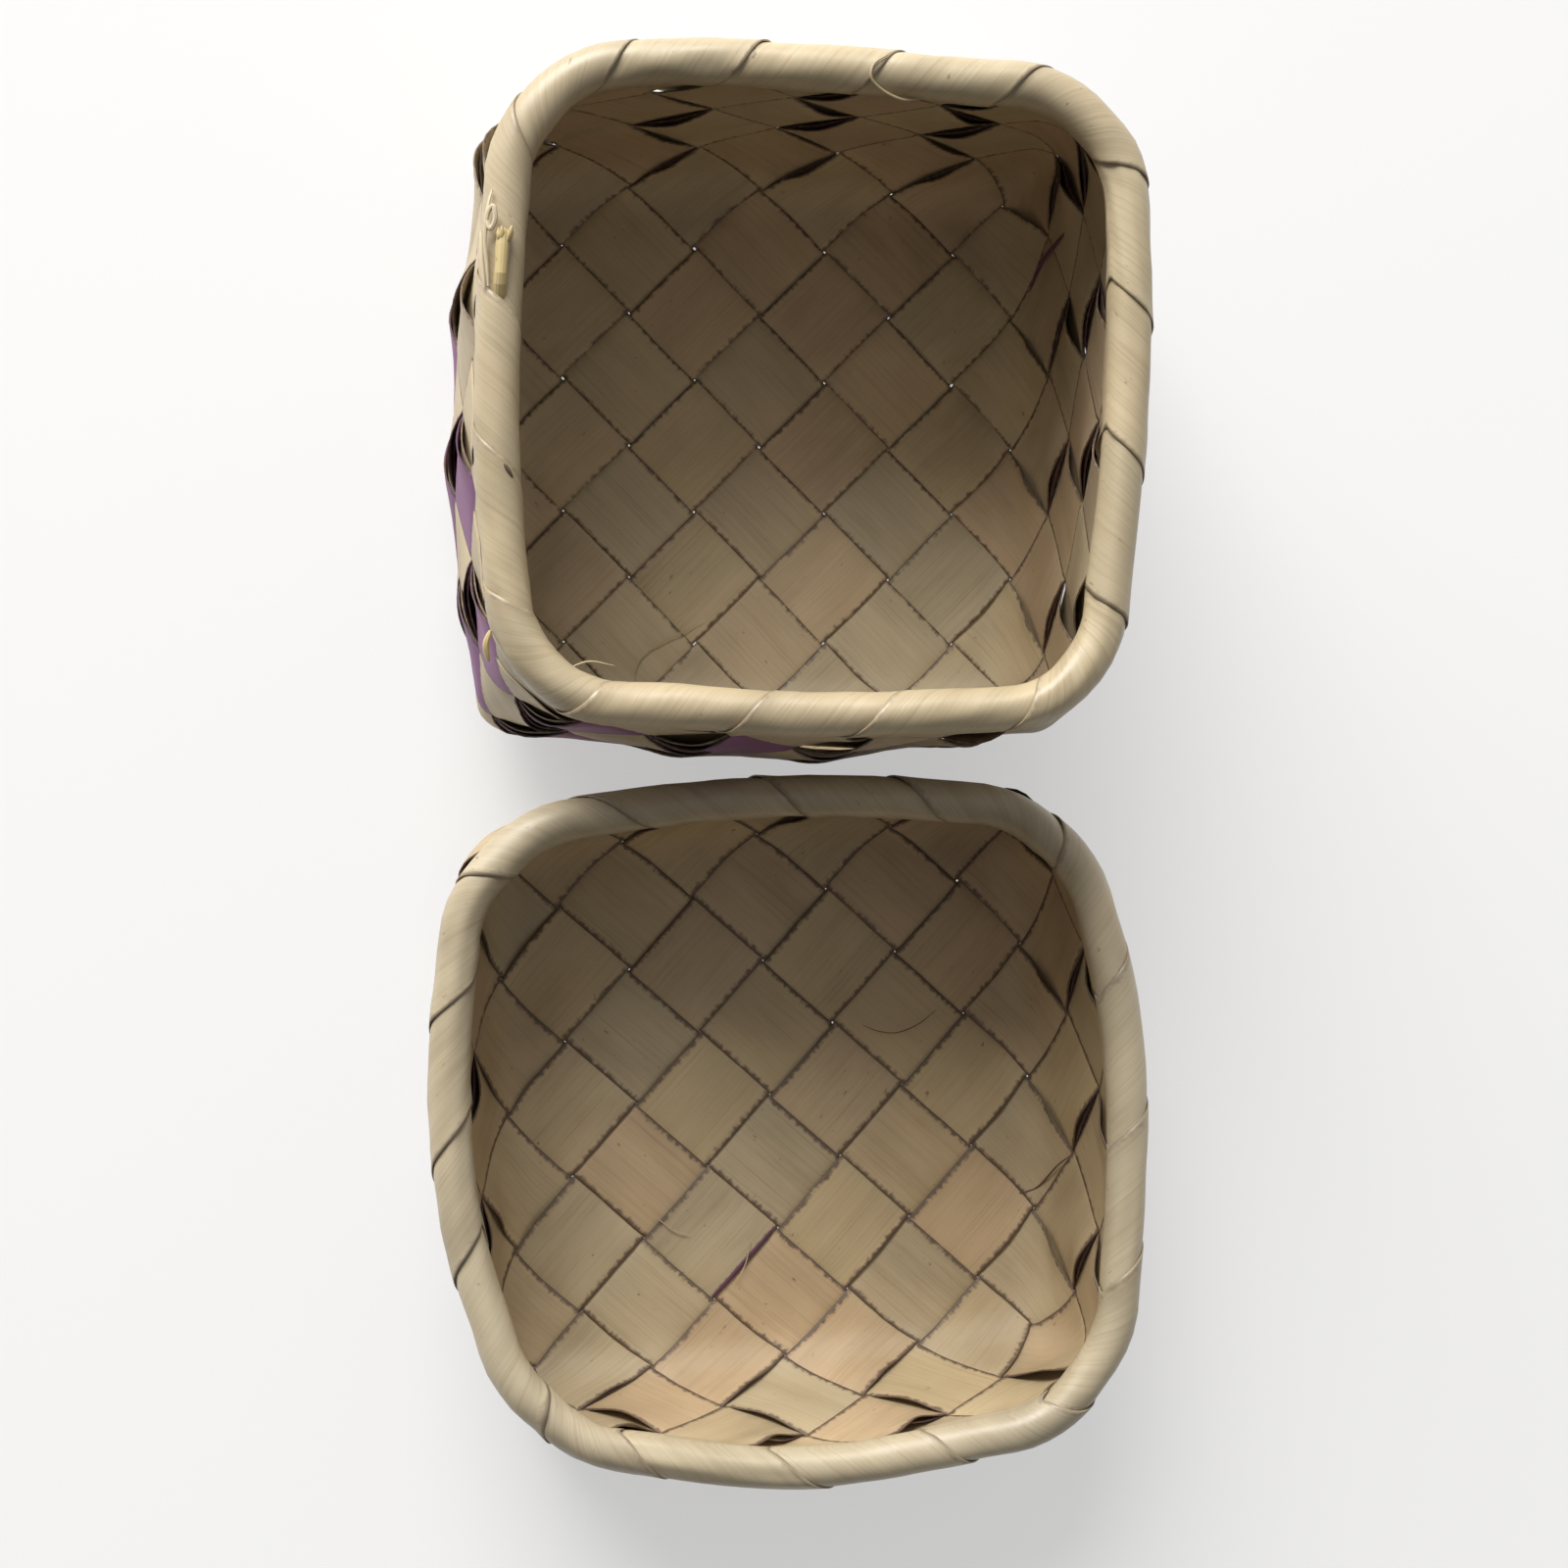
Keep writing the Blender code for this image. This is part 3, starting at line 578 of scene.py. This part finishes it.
def wrap_end(half, along, seed):
    """The fold over the rim and its end outside the wall: rows of points after the wall's last line."""
    d = half.diamond
    centre = (along[0] + along[-1]) / 2
    share = (along - centre) / d + 0.5  # 0 at the end that comes first round the box
    # the base's seams stand at whole numbers, the lid's between them
    number = int(math.floor(centre / d + 0.01)) if half is BASE else int(round(centre / d)) - 1
    first, second = (SEAMS[half.name][(number + more) % SEAM_COUNT] for more in (0, 1))
    points, offsets, run = [], [], []
    # one edge of a fold lies over its neighbour, the other edge goes on under the next fold
    over = (1 - share) if half is BASE else share
    under = 1 - over
    slip_way = 1 if half is BASE else -1
    for angle in ROLL_START + (ROLL_END - ROLL_START) * np.arange(1, ROLL_STEPS + 1) / ROLL_STEPS:
        arc = (angle - ROLL_START) * ROLL
        ramp = smooth((angle - ROLL_START) / ROLL_SETTLE)
        gone = (angle - ROLL_START) / (ROLL_END - ROLL_START)
        aside = (half.lead(np.array(half.rim + arc)) + ROLL_SLIP * arc) * half.turn
        shift = [((1 - gone) * seam[0] + gone * seam[1]) * d * ramp for seam in (first, second)]
        spread = (1 - share) * shift[0] + share * shift[1]
        slip = TUCK * d * ramp * under**3 * slip_way
        last_u = along + aside + spread + slip
        lump = FOLD_LUMP * wave(seed + 41, share * 2.2, angle * 0.9 + 0 * share)
        step_up = ramp * (FOLD_STEP[0] * over**1.5 + FOLD_STEP[1])
        curl = ramp * FOLD_CURL * np.clip((over - 0.88) / 0.12, 0, 1) ** 2
        dip = -TUCK_DEPTH * ramp * np.clip((under - 0.9) / 0.1, 0, 1)
        points.append(half.roll(last_u, np.full_like(last_u, angle), ROLL))
        offsets.append(LAYER + lump + step_up + curl + dip)
        run.append(arc)
    centre_u = (last_u[0] + last_u[-1]) / 2
    for k in range(1, TAIL_STEPS + 1):  # it narrows to its point
        q = k / TAIL_STEPS
        u = centre_u + half.turn * d / 4 * q + (last_u - centre_u) * (1 - TAIL_NARROWS * q)
        away = TAIL_AWAY + (ROLL * 0.82 - TAIL_AWAY) * (1 - q) ** 2
        points.append(half.outer_wall(u, half.rim - q * d / 2 + 0 * u, away))
        offsets.append(offsets[-1] * 0.7)
        run.append(arc + q * d / 2)
    return np.array(points), np.array(offsets), np.array(run)


def math_node(tree, operation, first, second=None, clamp=False):
    made = tree.nodes.new("ShaderNodeMath")
    made.operation = operation
    made.use_clamp = clamp
    for socket, value in zip(made.inputs, (first, second)):
        if value is None:
            continue
        if isinstance(value, (int, float)):
            socket.default_value = value
        else:
            tree.links.new(value, socket)
    return made.outputs[0]


def ramp_node(tree, value, stops):
    made = tree.nodes.new("ShaderNodeValToRGB")
    tree.links.new(value, made.inputs[0])
    elements = made.color_ramp.elements
    while len(elements) < len(stops):
        elements.new(0.5)
    for element, (place, colour) in zip(elements, stops):
        element.position = place
        element.color = (*colour, 1)
    return made.outputs[0]


def range_node(tree, value, start, end, low=0.0, high=1.0):
    """A value taken from one range to another, and held at its ends."""
    made = tree.nodes.new("ShaderNodeMapRange")
    made.inputs["From Min"].default_value = start
    made.inputs["From Max"].default_value = end
    made.inputs["To Min"].default_value = low
    made.inputs["To Max"].default_value = high
    tree.links.new(value, made.inputs["Value"])
    return made.outputs[0]


def mix_colour(tree, factor, first, second, blend="MIX"):
    made = tree.nodes.new("ShaderNodeMix")
    made.data_type = "RGBA"
    made.blend_type = blend
    for socket, value in zip((made.inputs[0], made.inputs[6], made.inputs[7]), (factor, first, second)):
        if isinstance(value, (int, float)):
            socket.default_value = value
        elif isinstance(value, tuple):
            socket.default_value = (*value, 1)
        else:
            tree.links.new(value, socket)
    return made.outputs[2]


def attribute_node(tree, name):
    made = tree.nodes.new("ShaderNodeAttribute")
    made.attribute_name = name
    return made


def split_attribute(tree, name):
    """The three values of a vector that each point of the mesh carries."""
    made = tree.nodes.new("ShaderNodeSeparateXYZ")
    tree.links.new(attribute_node(tree, name).outputs["Vector"], made.inputs[0])
    return made.outputs


# The noises of a leaf: their scale across it and along it, and their detail
NOISES = {
    "fibre": (4200.0, 60.0, 3.0),
    "vein": (1500.0, 12.0, 2.0),
    "stain": (160.0, 60.0, 4.0),
    "cloud": (60.0, 25.0, 2.0),
    "blotch": (900.0, 420.0, 3.0),
    "veinlet": (90.0, 3600.0, 1.0),
    "slit": (600.0, 900.0, 3.0),
}
# What they do to its colour: how strongly, and what it is multiplied by from low to high
SHADES = (
    ("cloud", 1.0, ((0.3, (0.86, 0.86, 0.84)), (0.7, (1.1, 1.09, 1.06)))),
    ("stain", 0.55, ((0.3, (0.84, 0.8, 0.76)), (0.55, (1.0, 1.0, 1.0)))),
    ("fibre", 0.6, ((0.28, (0.8, 0.78, 0.74)), (0.5, (1.0, 1.0, 1.0)), (0.75, (1.09, 1.08, 1.05)))),
    ("vein", 0.45, ((0.33, (0.84, 0.82, 0.78)), (0.5, (1.0, 1.0, 1.0)))),
    ("blotch", 0.8, ((0.24, (0.45, 0.38, 0.3)), (0.3, (1.0, 1.0, 1.0)))),
)
# What they do to its height
RELIEF = (("fibre", 0.5), ("vein", 0.8), ("blotch", 0.25), ("veinlet", 0.3))
PAINTED_SEAM_SHADE = (0.0082, 0.0089)  # where the painted seam shade starts and is full, in metres from the middle
PAINTED_SEAM_SHADE_RAGGED = 0.0022
PAINTED_SEAM_SHADE_STRENGTH = 0.85
PAINTED_SEAM_SHADE_FADE = 0.5  # how much weaker the painted seam shade is where the leaf folds over the rim
SEED_STEP = 0.37  # how far apart the noises of two strips lie
DULLER = 0.16  # the roughness that the leaf has besides away from the rim
BUMP_STRENGTH = 0.35
BUMP_DISTANCE = 0.00012


def leaf_material(name, tones, edge, rough, inner=None, on_rim=None):
    """Dried palm leaf: fibre lines along the strip, slow stains, specks, and painted shade at the edges,
    along the seams between strips.

    The tones are light, dark, warm and plain; inner is the colour of patches on the inside's face,
    and on_rim what the colour is multiplied by where the leaf folds over the rim.
    """
    made = bpy.data.materials.new(name)
    made.use_nodes = True
    tree = made.node_tree
    shader = tree.nodes["Principled BSDF"]
    across, along, strip_seed = split_attribute(tree, "leaf")
    dark, warm, plain = split_attribute(tree, "tone")
    rolled = attribute_node(tree, "rolled").outputs["Fac"]

    noise = {}
    for label, (scale_across, scale_along, detail) in NOISES.items():
        joined = tree.nodes.new("ShaderNodeCombineXYZ")
        for socket, value, scale in zip(
            joined.inputs, (across, along, strip_seed), (scale_across, scale_along, SEED_STEP)
        ):
            tree.links.new(math_node(tree, "MULTIPLY", value, scale), socket)
        texture = tree.nodes.new("ShaderNodeTexNoise")
        texture.inputs["Scale"].default_value = 1.0
        texture.inputs["Detail"].default_value = detail
        texture.inputs["Roughness"].default_value = 0.55
        tree.links.new(joined.outputs[0], texture.inputs["Vector"])
        noise[label] = texture.outputs["Fac"]

    base = mix_colour(tree, dark, tones[0], tones[1])
    warm = math_node(tree, "SUBTRACT", warm, 0.35)
    warm = math_node(tree, "MULTIPLY", warm, 1.6, clamp=True)
    base = mix_colour(tree, warm, base, tones[2])
    base = mix_colour(tree, plain, base, tones[3])
    if inner:
        patch = range_node(tree, noise["cloud"], 0.36, 0.42)
        patch = math_node(tree, "MULTIPLY", attribute_node(tree, "inside").outputs["Fac"], patch)
        base = mix_colour(tree, patch, base, inner)
    for label, strength, stops in SHADES:
        base = mix_colour(tree, strength, base, ramp_node(tree, noise[label], stops), "MULTIPLY")
    if on_rim:
        base = mix_colour(tree, rolled, base, mix_colour(tree, 1.0, base, on_rim, "MULTIPLY"))

    # painted shade along the seams: the edges, where the leaf was slit, are painted darker and a little
    # ragged
    ragged = math_node(tree, "SUBTRACT", noise["slit"], 0.5)
    ragged = math_node(tree, "MULTIPLY", ragged, PAINTED_SEAM_SHADE_RAGGED)
    off = math_node(tree, "ADD", math_node(tree, "ABSOLUTE", across), ragged)
    fade = math_node(tree, "MULTIPLY", rolled, PAINTED_SEAM_SHADE_FADE)
    strength = math_node(tree, "SUBTRACT", PAINTED_SEAM_SHADE_STRENGTH, fade)
    strength = math_node(tree, "MULTIPLY", range_node(tree, off, *PAINTED_SEAM_SHADE), strength)
    base = mix_colour(tree, strength, base, edge)
    tree.links.new(base, shader.inputs["Base Color"])

    # the leaf is duller on the walls and the floor than where it folds over the rim
    roughness = range_node(tree, noise["fibre"], 0.3, 0.7, rough - 0.08, rough + 0.1)
    duller = math_node(tree, "MULTIPLY", math_node(tree, "SUBTRACT", 1.0, rolled), DULLER)
    tree.links.new(math_node(tree, "ADD", roughness, duller), shader.inputs["Roughness"])
    shader.inputs["Specular IOR Level"].default_value = 0.6

    steps = [math_node(tree, "MULTIPLY", noise[label], amount) for label, amount in RELIEF]
    height = steps[0]
    for step in steps[1:]:
        height = math_node(tree, "ADD", height, step)
    bump = tree.nodes.new("ShaderNodeBump")
    bump.inputs["Strength"].default_value = BUMP_STRENGTH
    bump.inputs["Distance"].default_value = BUMP_DISTANCE
    tree.links.new(height, bump.inputs["Height"])
    tree.links.new(bump.outputs[0], shader.inputs["Normal"])
    return made


# the third colour of each leaf is that of the painted shade along its edges at the seams
natural = leaf_material(
    "natural_leaf",
    ((0.52, 0.43, 0.28), (0.45, 0.365, 0.245), (0.53, 0.375, 0.262), (0.47, 0.425, 0.325)),
    (0.085, 0.052, 0.04), 0.4,
)
natural_lid = leaf_material(
    "natural_leaf_lid",
    ((0.53, 0.415, 0.25), (0.46, 0.355, 0.22), (0.535, 0.365, 0.235), (0.48, 0.41, 0.285)),
    (0.085, 0.05, 0.038), 0.42, on_rim=(0.97, 1.05, 1.2),
)
dyed = leaf_material(
    "dyed_leaf",
    ((0.24, 0.085, 0.22), (0.2, 0.07, 0.2), (0.3, 0.12, 0.26), (0.5, 0.41, 0.27)),
    (0.05, 0.02, 0.04), 0.4, inner=(0.3, 0.21, 0.14),
)
straw = leaf_material(
    "midrib_straw",
    ((0.58, 0.46, 0.23), (0.54, 0.43, 0.21), (0.6, 0.42, 0.25), (0.56, 0.44, 0.25)),
    (0.38, 0.26, 0.13), 0.45,
)
pale_fibre = leaf_material(
    "pale_fibre",
    ((0.66, 0.56, 0.4), (0.6, 0.5, 0.35), (0.66, 0.5, 0.36), (0.62, 0.54, 0.4)),
    (0.4, 0.28, 0.18), 0.5,
)
purple_fibre = leaf_material("purple_fibre", ((0.12, 0.035, 0.09),) * 4, (0.06, 0.02, 0.04), 0.5)
# dark hairs, and slivers of painted shade in slits and along a crease
dark_fibre = leaf_material("dark_fibre", ((0.12, 0.08, 0.055),) * 4, (0.06, 0.04, 0.03), 0.5)


def add_piece(name, mesh, material, body, slot, *replaced):
    mesh.materials.append(material)
    piece = bpy.data.objects.new(name, mesh)
    bpy.context.scene.collection.objects.link(piece)
    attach(piece, body)
    if replaced:
        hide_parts(*replaced)


def add_strips(half, leaf, seed):
    """All strips of one half; each dyed leaf has the seed of the "/" strip that it lies behind."""
    for number in range(1, 2 * FLOOR_DIAMONDS + 1):
        for family in ("a", "b"):
            name = f"{half.name}_strip_{family}{number}"
            strip_seed = seed + number * 2 + (family == "b")
            top, low, marks = build_strip(half, family, number, False, strip_seed)
            mesh = grid_mesh(name, top, low, marks, family == "a")
            add_piece(name, mesh, leaf, half.name, "leaf_natural", f"{half.name}_leaf_{family}{number}")
        name = f"{half.name}_lining_{number}"
        top, low, marks = build_strip(half, "a", number, True, seed + number * 2)
        mesh = grid_mesh(name, top, low, marks, True)
        add_piece(name, mesh, dyed, half.name, "leaf_dyed", f"{half.name}_dyed_leaf_{number}")


def tube_mesh(name, path, radii, sides, seed):
    """A closed round rod along a path of points."""
    tangent = np.gradient(path, axis=0)
    tangent /= np.linalg.norm(tangent, axis=1, keepdims=True)
    aside = np.cross(tangent, (0.0, 0.0, 1.0))
    aside /= np.maximum(np.linalg.norm(aside, axis=1, keepdims=True), 1e-9)
    over = np.cross(aside, tangent)
    angles = np.arange(sides) * math.tau / sides
    cosine, sine = np.cos(angles)[None, :, None], np.sin(angles)[None, :, None]
    away = (cosine * aside[:, None, :] + sine * over[:, None, :]) * radii[:, None, None]
    points = (path[:, None, :] + away).reshape(-1, 3)
    count = len(path)
    faces = []
    for k in range(count - 1):
        for s in range(sides):
            n = (s + 1) % sides
            faces.append((k * sides + s, k * sides + n, (k + 1) * sides + n, (k + 1) * sides + s))
    faces.append(tuple(range(sides))[::-1])
    faces.append(tuple((count - 1) * sides + s for s in range(sides)))
    mesh = bpy.data.meshes.new(name)
    mesh.from_pydata([tuple(p) for p in points], [], faces)
    mesh.update()
    flat = np.zeros(len(faces), bool)
    flat[-2:] = True
    mesh.attributes.new("sharp_face", "BOOLEAN", "FACE").data.foreach_set("value", flat)
    run = np.concatenate([[0], np.cumsum(np.linalg.norm(np.diff(path, axis=0), axis=1))])
    round_it = np.tile(angles * STICK_RADIUS, count)
    place = np.stack([round_it, np.repeat(run, sides), np.full(count * sides, float(seed))], -1)
    vector_attribute(mesh, "leaf", place)
    vector_attribute(mesh, "tone", np.zeros((count * sides, 3)))
    return mesh


def add_stick(half, seed):
    """The midrib round inside the rim; on the base its end stands out of the roll, frayed."""
    way = np.linspace(0, 8 * half.half - STICK_GAP, STICK_POINTS)
    along = STICK_START * half.diamond + way
    x, y = half.ring(along, np.full_like(way, half.rim_spread), 1.0)[:2]
    lift = np.zeros_like(way)
    if half is BASE:
        lift = STICK_LIFT * (1 - smooth((way / half.diamond - 0.22) / 0.38))
    path = np.stack([x, y, half.rim_height + lift], -1)
    radii = STICK_RADIUS * (1 + 0.04 * np.sin(way * 900.0))
    mesh = tube_mesh(f"{half.name}_midrib", half.to_frame(path), radii, 14, seed)
    add_piece(f"{half.name}_midrib", mesh, straw, half.name, "midrib", f"{half.name}_rim_stick")
    if half is BASE:
        rng = np.random.RandomState(seed)
        for number in range(1, FRAY_COUNT + 1):
            aside, up, long = rng.uniform(-0.85, 0.85), rng.uniform(-0.6, 0.85), rng.uniform(0.5, 1.5)
            root = path[0] * 1000 + np.array([aside, -1.0, up * 0.85])
            tip = root + np.array([aside * 0.7 + 0.25, long + 1.0, up * 0.6])
            middle = (root + tip) / 2 + np.array([0, 0, 0.12])
            course = (root, middle, tip)
            add_fibre(f"base_fray_{number}", half, course, 0.36, straw, "midrib", seed + number)


def smooth_path(points, count):
    """A curve through points, by a spline that goes through each."""
    points = np.array(points, float)
    before, after = 2 * points[:1] - points[1:2], 2 * points[-1:] - points[-2:-1]
    padded = np.concatenate([before, points, after])
    t = np.linspace(0, len(points) - 1 - 1e-6, count)
    k = t.astype(int)
    f = (t - k)[:, None]
    p0, p1, p2, p3 = padded[k], padded[k + 1], padded[k + 2], padded[k + 3]
    square, cube = 2 * p0 - 5 * p1 + 4 * p2 - p3, 3 * p1 - p0 - 3 * p2 + p3
    return 0.5 * (2 * p1 + (p2 - p0) * f + square * f**2 + cube * f**3)


def add_fibre(name, half, points, thick, material, slot, seed):
    """A loose fibre through points in the half's own millimetres, thinning to its ends; also used for dark
    slivers of painted shade.
    """
    path = half.to_frame(smooth_path(points, 12 * len(points)) / 1000)
    along = np.linspace(0, 1, len(path))
    radii = thick / 1000 * (0.25 + 0.75 * np.sin(math.pi * np.clip(along, 0.02, 0.98)) ** 0.5)
    add_piece(name, tube_mesh(name, path, radii, 7, seed), material, half.name, slot)


# Loose fibres, and dark slivers of painted shade: the half, its radius, its look and its course, in the
# half's own millimetres
FIBRES = (
    # the torn fold at the back rim, the loop and the splinter by the stick's end
    (BASE, 0.26, natural, (
        (11.2, 56.5, 80.0), (8.9, 54.8, 80.4), (8.6, 52.5, 80.0), (11.0, 50.8, 78.6),
        (14.5, 49.9, 77.2), (17.6, 50.5, 76.0))),
    (BASE, 0.42, pale_fibre, (
        (-53.6, 32.6, 79.8), (-54.2, 30.2, 80.4), (-54.5, 27.4, 80.9), (-53.9, 26.0, 81.3),
        (-53.2, 27.6, 81.6), (-53.5, 29.6, 81.5), (-54.4, 28.2, 81.0), (-54.8, 24.0, 80.5),
        (-54.5, 20.0, 80.3), (-54.3, 17.0, 80.1))),
    (BASE, 0.5, pale_fibre, ((-55.4, 26.0, 79.5), (-55.3, 21.5, 79.7), (-54.9, 16.8, 79.9))),
    # dark slivers of painted shade in the left rim's slits, and a splinter
    (BASE, 0.6, dark_fibre, ((-55.3, -6.9, 77.9), (-54.8, -8.1, 78.5), (-53.9, -9.9, 79.2))),
    (BASE, 0.5, dark_fibre, ((-52.4, -11.0, 79.6), (-51.4, -12.4, 79.5), (-50.4, -13.8, 79.1))),
    (BASE, 0.6, straw, ((-53.9, -38.6, 76.2), (-54.6, -41.0, 75.6), (-54.2, -43.6, 74.8))),
    # hairs
    (BASE, 0.14, natural, (
        (-24.3, -47.5, 3.4), (-24.4, -44.0, 2.4), (-23.0, -40.8, 2.1), (-19.5, -38.2, 2.1),
        (-15.5, -36.3, 2.1), (-11.5, -34.2, 2.1))),
    (BASE, 0.16, natural, ((-42.5, -45.5, 74.0), (-38.0, -43.6, 74.6), (-33.5, -44.2, 73.8))),
    (LID, 0.1, dark_fibre, (
        (18.9, 12.3, 2.1), (22.0, 10.9, 2.2), (25.7, 10.4, 2.3), (30.0, 11.8, 2.3),
        (33.7, 14.3, 2.1))),
    (LID, 0.12, natural, ((-24.0, -22.0, 2.1), (-20.5, -25.0, 2.4), (-17.5, -26.3, 2.3))),
    # the dyed edge low on the base's right wall, a dark line of painted shade along the lid's crease, and a
    # dyed edge and a hair in its floor
    (BASE, 0.4, purple_fibre, (
        (52.4, 30.4, 6.5), (53.5, 35.2, 11.5), (54.3, 37.2, 18.5), (54.7, 38.4, 26.0))),
    (LID, 0.2, dark_fibre, (
        (56.0, -14.6, 14.0), (54.6, -17.2, 9.2), (52.1, -21.6, 4.3), (50.3, -22.8, 2.7),
        (48.5, -23.2, 2.0))),
    (LID, 0.42, purple_fibre, (
        (-13.6, -38.7, 1.75), (-10.3, -35.6, 1.85), (-7.0, -32.3, 1.85), (-3.7, -29.1, 1.85),
        (-0.7, -26.1, 1.75))),
    (LID, 0.12, natural, ((-5.5, -28.5, 2.2), (-7.0, -33.0, 2.6), (-9.5, -36.5, 2.4))),
)

add_strips(BASE, natural, 1000)
add_strips(LID, natural_lid, 2000)
add_stick(BASE, 3000)
add_stick(LID, 3001)
for number, (half, thick, look, points) in enumerate(FIBRES, 1):
    add_fibre(f"{half.name}_fibre_{number}", half, points, thick, look, "leaf_natural", 3100 + number)

# Floor, light and camera
PAPER_REACH = 40.0  # metres to each side
PAPER_DROP = 0.0001
PAPER_LIT = (0.88, 0.875, 0.87, 1)  # the paper as the object sees it
PAPER_SHADED = (0.4, 0.4, 0.4, 1)  # what takes the shadow in the camera's view
PAPER_GLOW = 0.49
WORLD_COLOUR = (1.0, 0.99, 0.98, 1)
WORLD_LEVEL = 0.285
WORLD_SLOPE = (0.07, 0.24, 0.0)  # how much lighter it is towards the key lamp
LAMP_COLOUR = (1.0, 0.99, 0.97)
CAMERA_FOCAL_PX = 2678.6
CAMERA_TURN = tuple(math.radians(a) for a in (1.30186, 7.75042, 0.11782))
CAMERA_PLACE = (-2.526, -2.122, 20.007)  # from the middle of the base's floor, in diamonds
IMAGE_SIZE = 1600
SENSOR = 36.0


def paper_material():
    """White paper that the camera sees nearly white, with the object's shadow kept on it."""
    made = bpy.data.materials.new("paper")
    made.use_nodes = True
    tree = made.node_tree
    tree.nodes.clear()
    out = tree.nodes.new("ShaderNodeOutputMaterial")
    lit = tree.nodes.new("ShaderNodeBsdfDiffuse")
    lit.inputs["Color"].default_value = PAPER_LIT
    faint = tree.nodes.new("ShaderNodeBsdfDiffuse")
    faint.inputs["Color"].default_value = PAPER_SHADED
    glow = tree.nodes.new("ShaderNodeEmission")
    glow.inputs["Color"].default_value = (1.0, 1.0, 1.0, 1)
    glow.inputs["Strength"].default_value = PAPER_GLOW
    seen = tree.nodes.new("ShaderNodeAddShader")
    tree.links.new(faint.outputs[0], seen.inputs[0])
    tree.links.new(glow.outputs[0], seen.inputs[1])
    path = tree.nodes.new("ShaderNodeLightPath")
    direct = math_node(tree, "MAXIMUM", path.outputs["Is Camera Ray"], path.outputs["Is Glossy Ray"])
    direct = math_node(tree, "MAXIMUM", direct, path.outputs["Is Transmission Ray"])
    either = tree.nodes.new("ShaderNodeMixShader")
    tree.links.new(direct, either.inputs[0])
    tree.links.new(lit.outputs[0], either.inputs[1])
    tree.links.new(seen.outputs[0], either.inputs[2])
    tree.links.new(either.outputs[0], out.inputs["Surface"])
    return made


corners = [(x * PAPER_REACH, y * PAPER_REACH, 0) for x, y in ((-1, -1), (1, -1), (1, 1), (-1, 1))]
floor_mesh = bpy.data.meshes.new("floor")
floor_mesh.from_pydata(corners, [], [(0, 1, 2, 3)])
floor_mesh.materials.append(paper_material())
floor = bpy.data.objects.new("floor", floor_mesh)
bpy.context.scene.collection.objects.link(floor)
floor.location.z = min(0.0, cad_box[0][2]) - PAPER_DROP

world = bpy.data.worlds.new("studio")
bpy.context.scene.world = world
world.use_nodes = True
sky = world.node_tree
background = sky.nodes["Background"]
background.inputs[0].default_value = WORLD_COLOUR
facing = sky.nodes.new("ShaderNodeTexCoord")
toward = sky.nodes.new("ShaderNodeVectorMath")
toward.operation = "DOT_PRODUCT"
toward.inputs[1].default_value = WORLD_SLOPE
sky.links.new(facing.outputs["Generated"], toward.inputs[0])
sky.links.new(math_node(sky, "ADD", toward.outputs["Value"], WORLD_LEVEL), background.inputs[1])


def area_light(name, place, target, size, power):
    light = bpy.data.lights.new(name, "AREA")
    light.shape = "DISK"
    light.size = size
    light.energy = power
    light.color = LAMP_COLOUR
    lamp = bpy.data.objects.new(name, light)
    bpy.context.scene.collection.objects.link(lamp)
    lamp.location = place
    direction = Vector(target) - Vector(place)
    lamp.rotation_euler = direction.to_track_quat("-Z", "Y").to_euler()


area_light("key", (-0.84, 2.52, 1.76), (0, 0, 0), 2.2, 148.0)
area_light("side", (-0.88, 1.1, 0.42), (-0.06, 0.1, 0.07), 0.6, 6.5)

camera_data = bpy.data.cameras.new("camera")
camera_data.sensor_width = SENSOR
camera_data.lens = CAMERA_FOCAL_PX / IMAGE_SIZE * SENSOR
camera_data.clip_start = 0.01
camera = bpy.data.objects.new("camera", camera_data)
bpy.context.scene.collection.objects.link(camera)
camera_place = tuple(p * BASE_DIAMOND + c for p, c in zip(CAMERA_PLACE, (*BASE_CENTRE, 0.0)))
turned = Euler(CAMERA_TURN, "XYZ").to_matrix().transposed()
camera.matrix_world = Matrix.Translation(camera_place) @ turned.to_4x4()
bpy.context.scene.camera = camera
bpy.context.scene.view_settings.view_transform = "Standard"
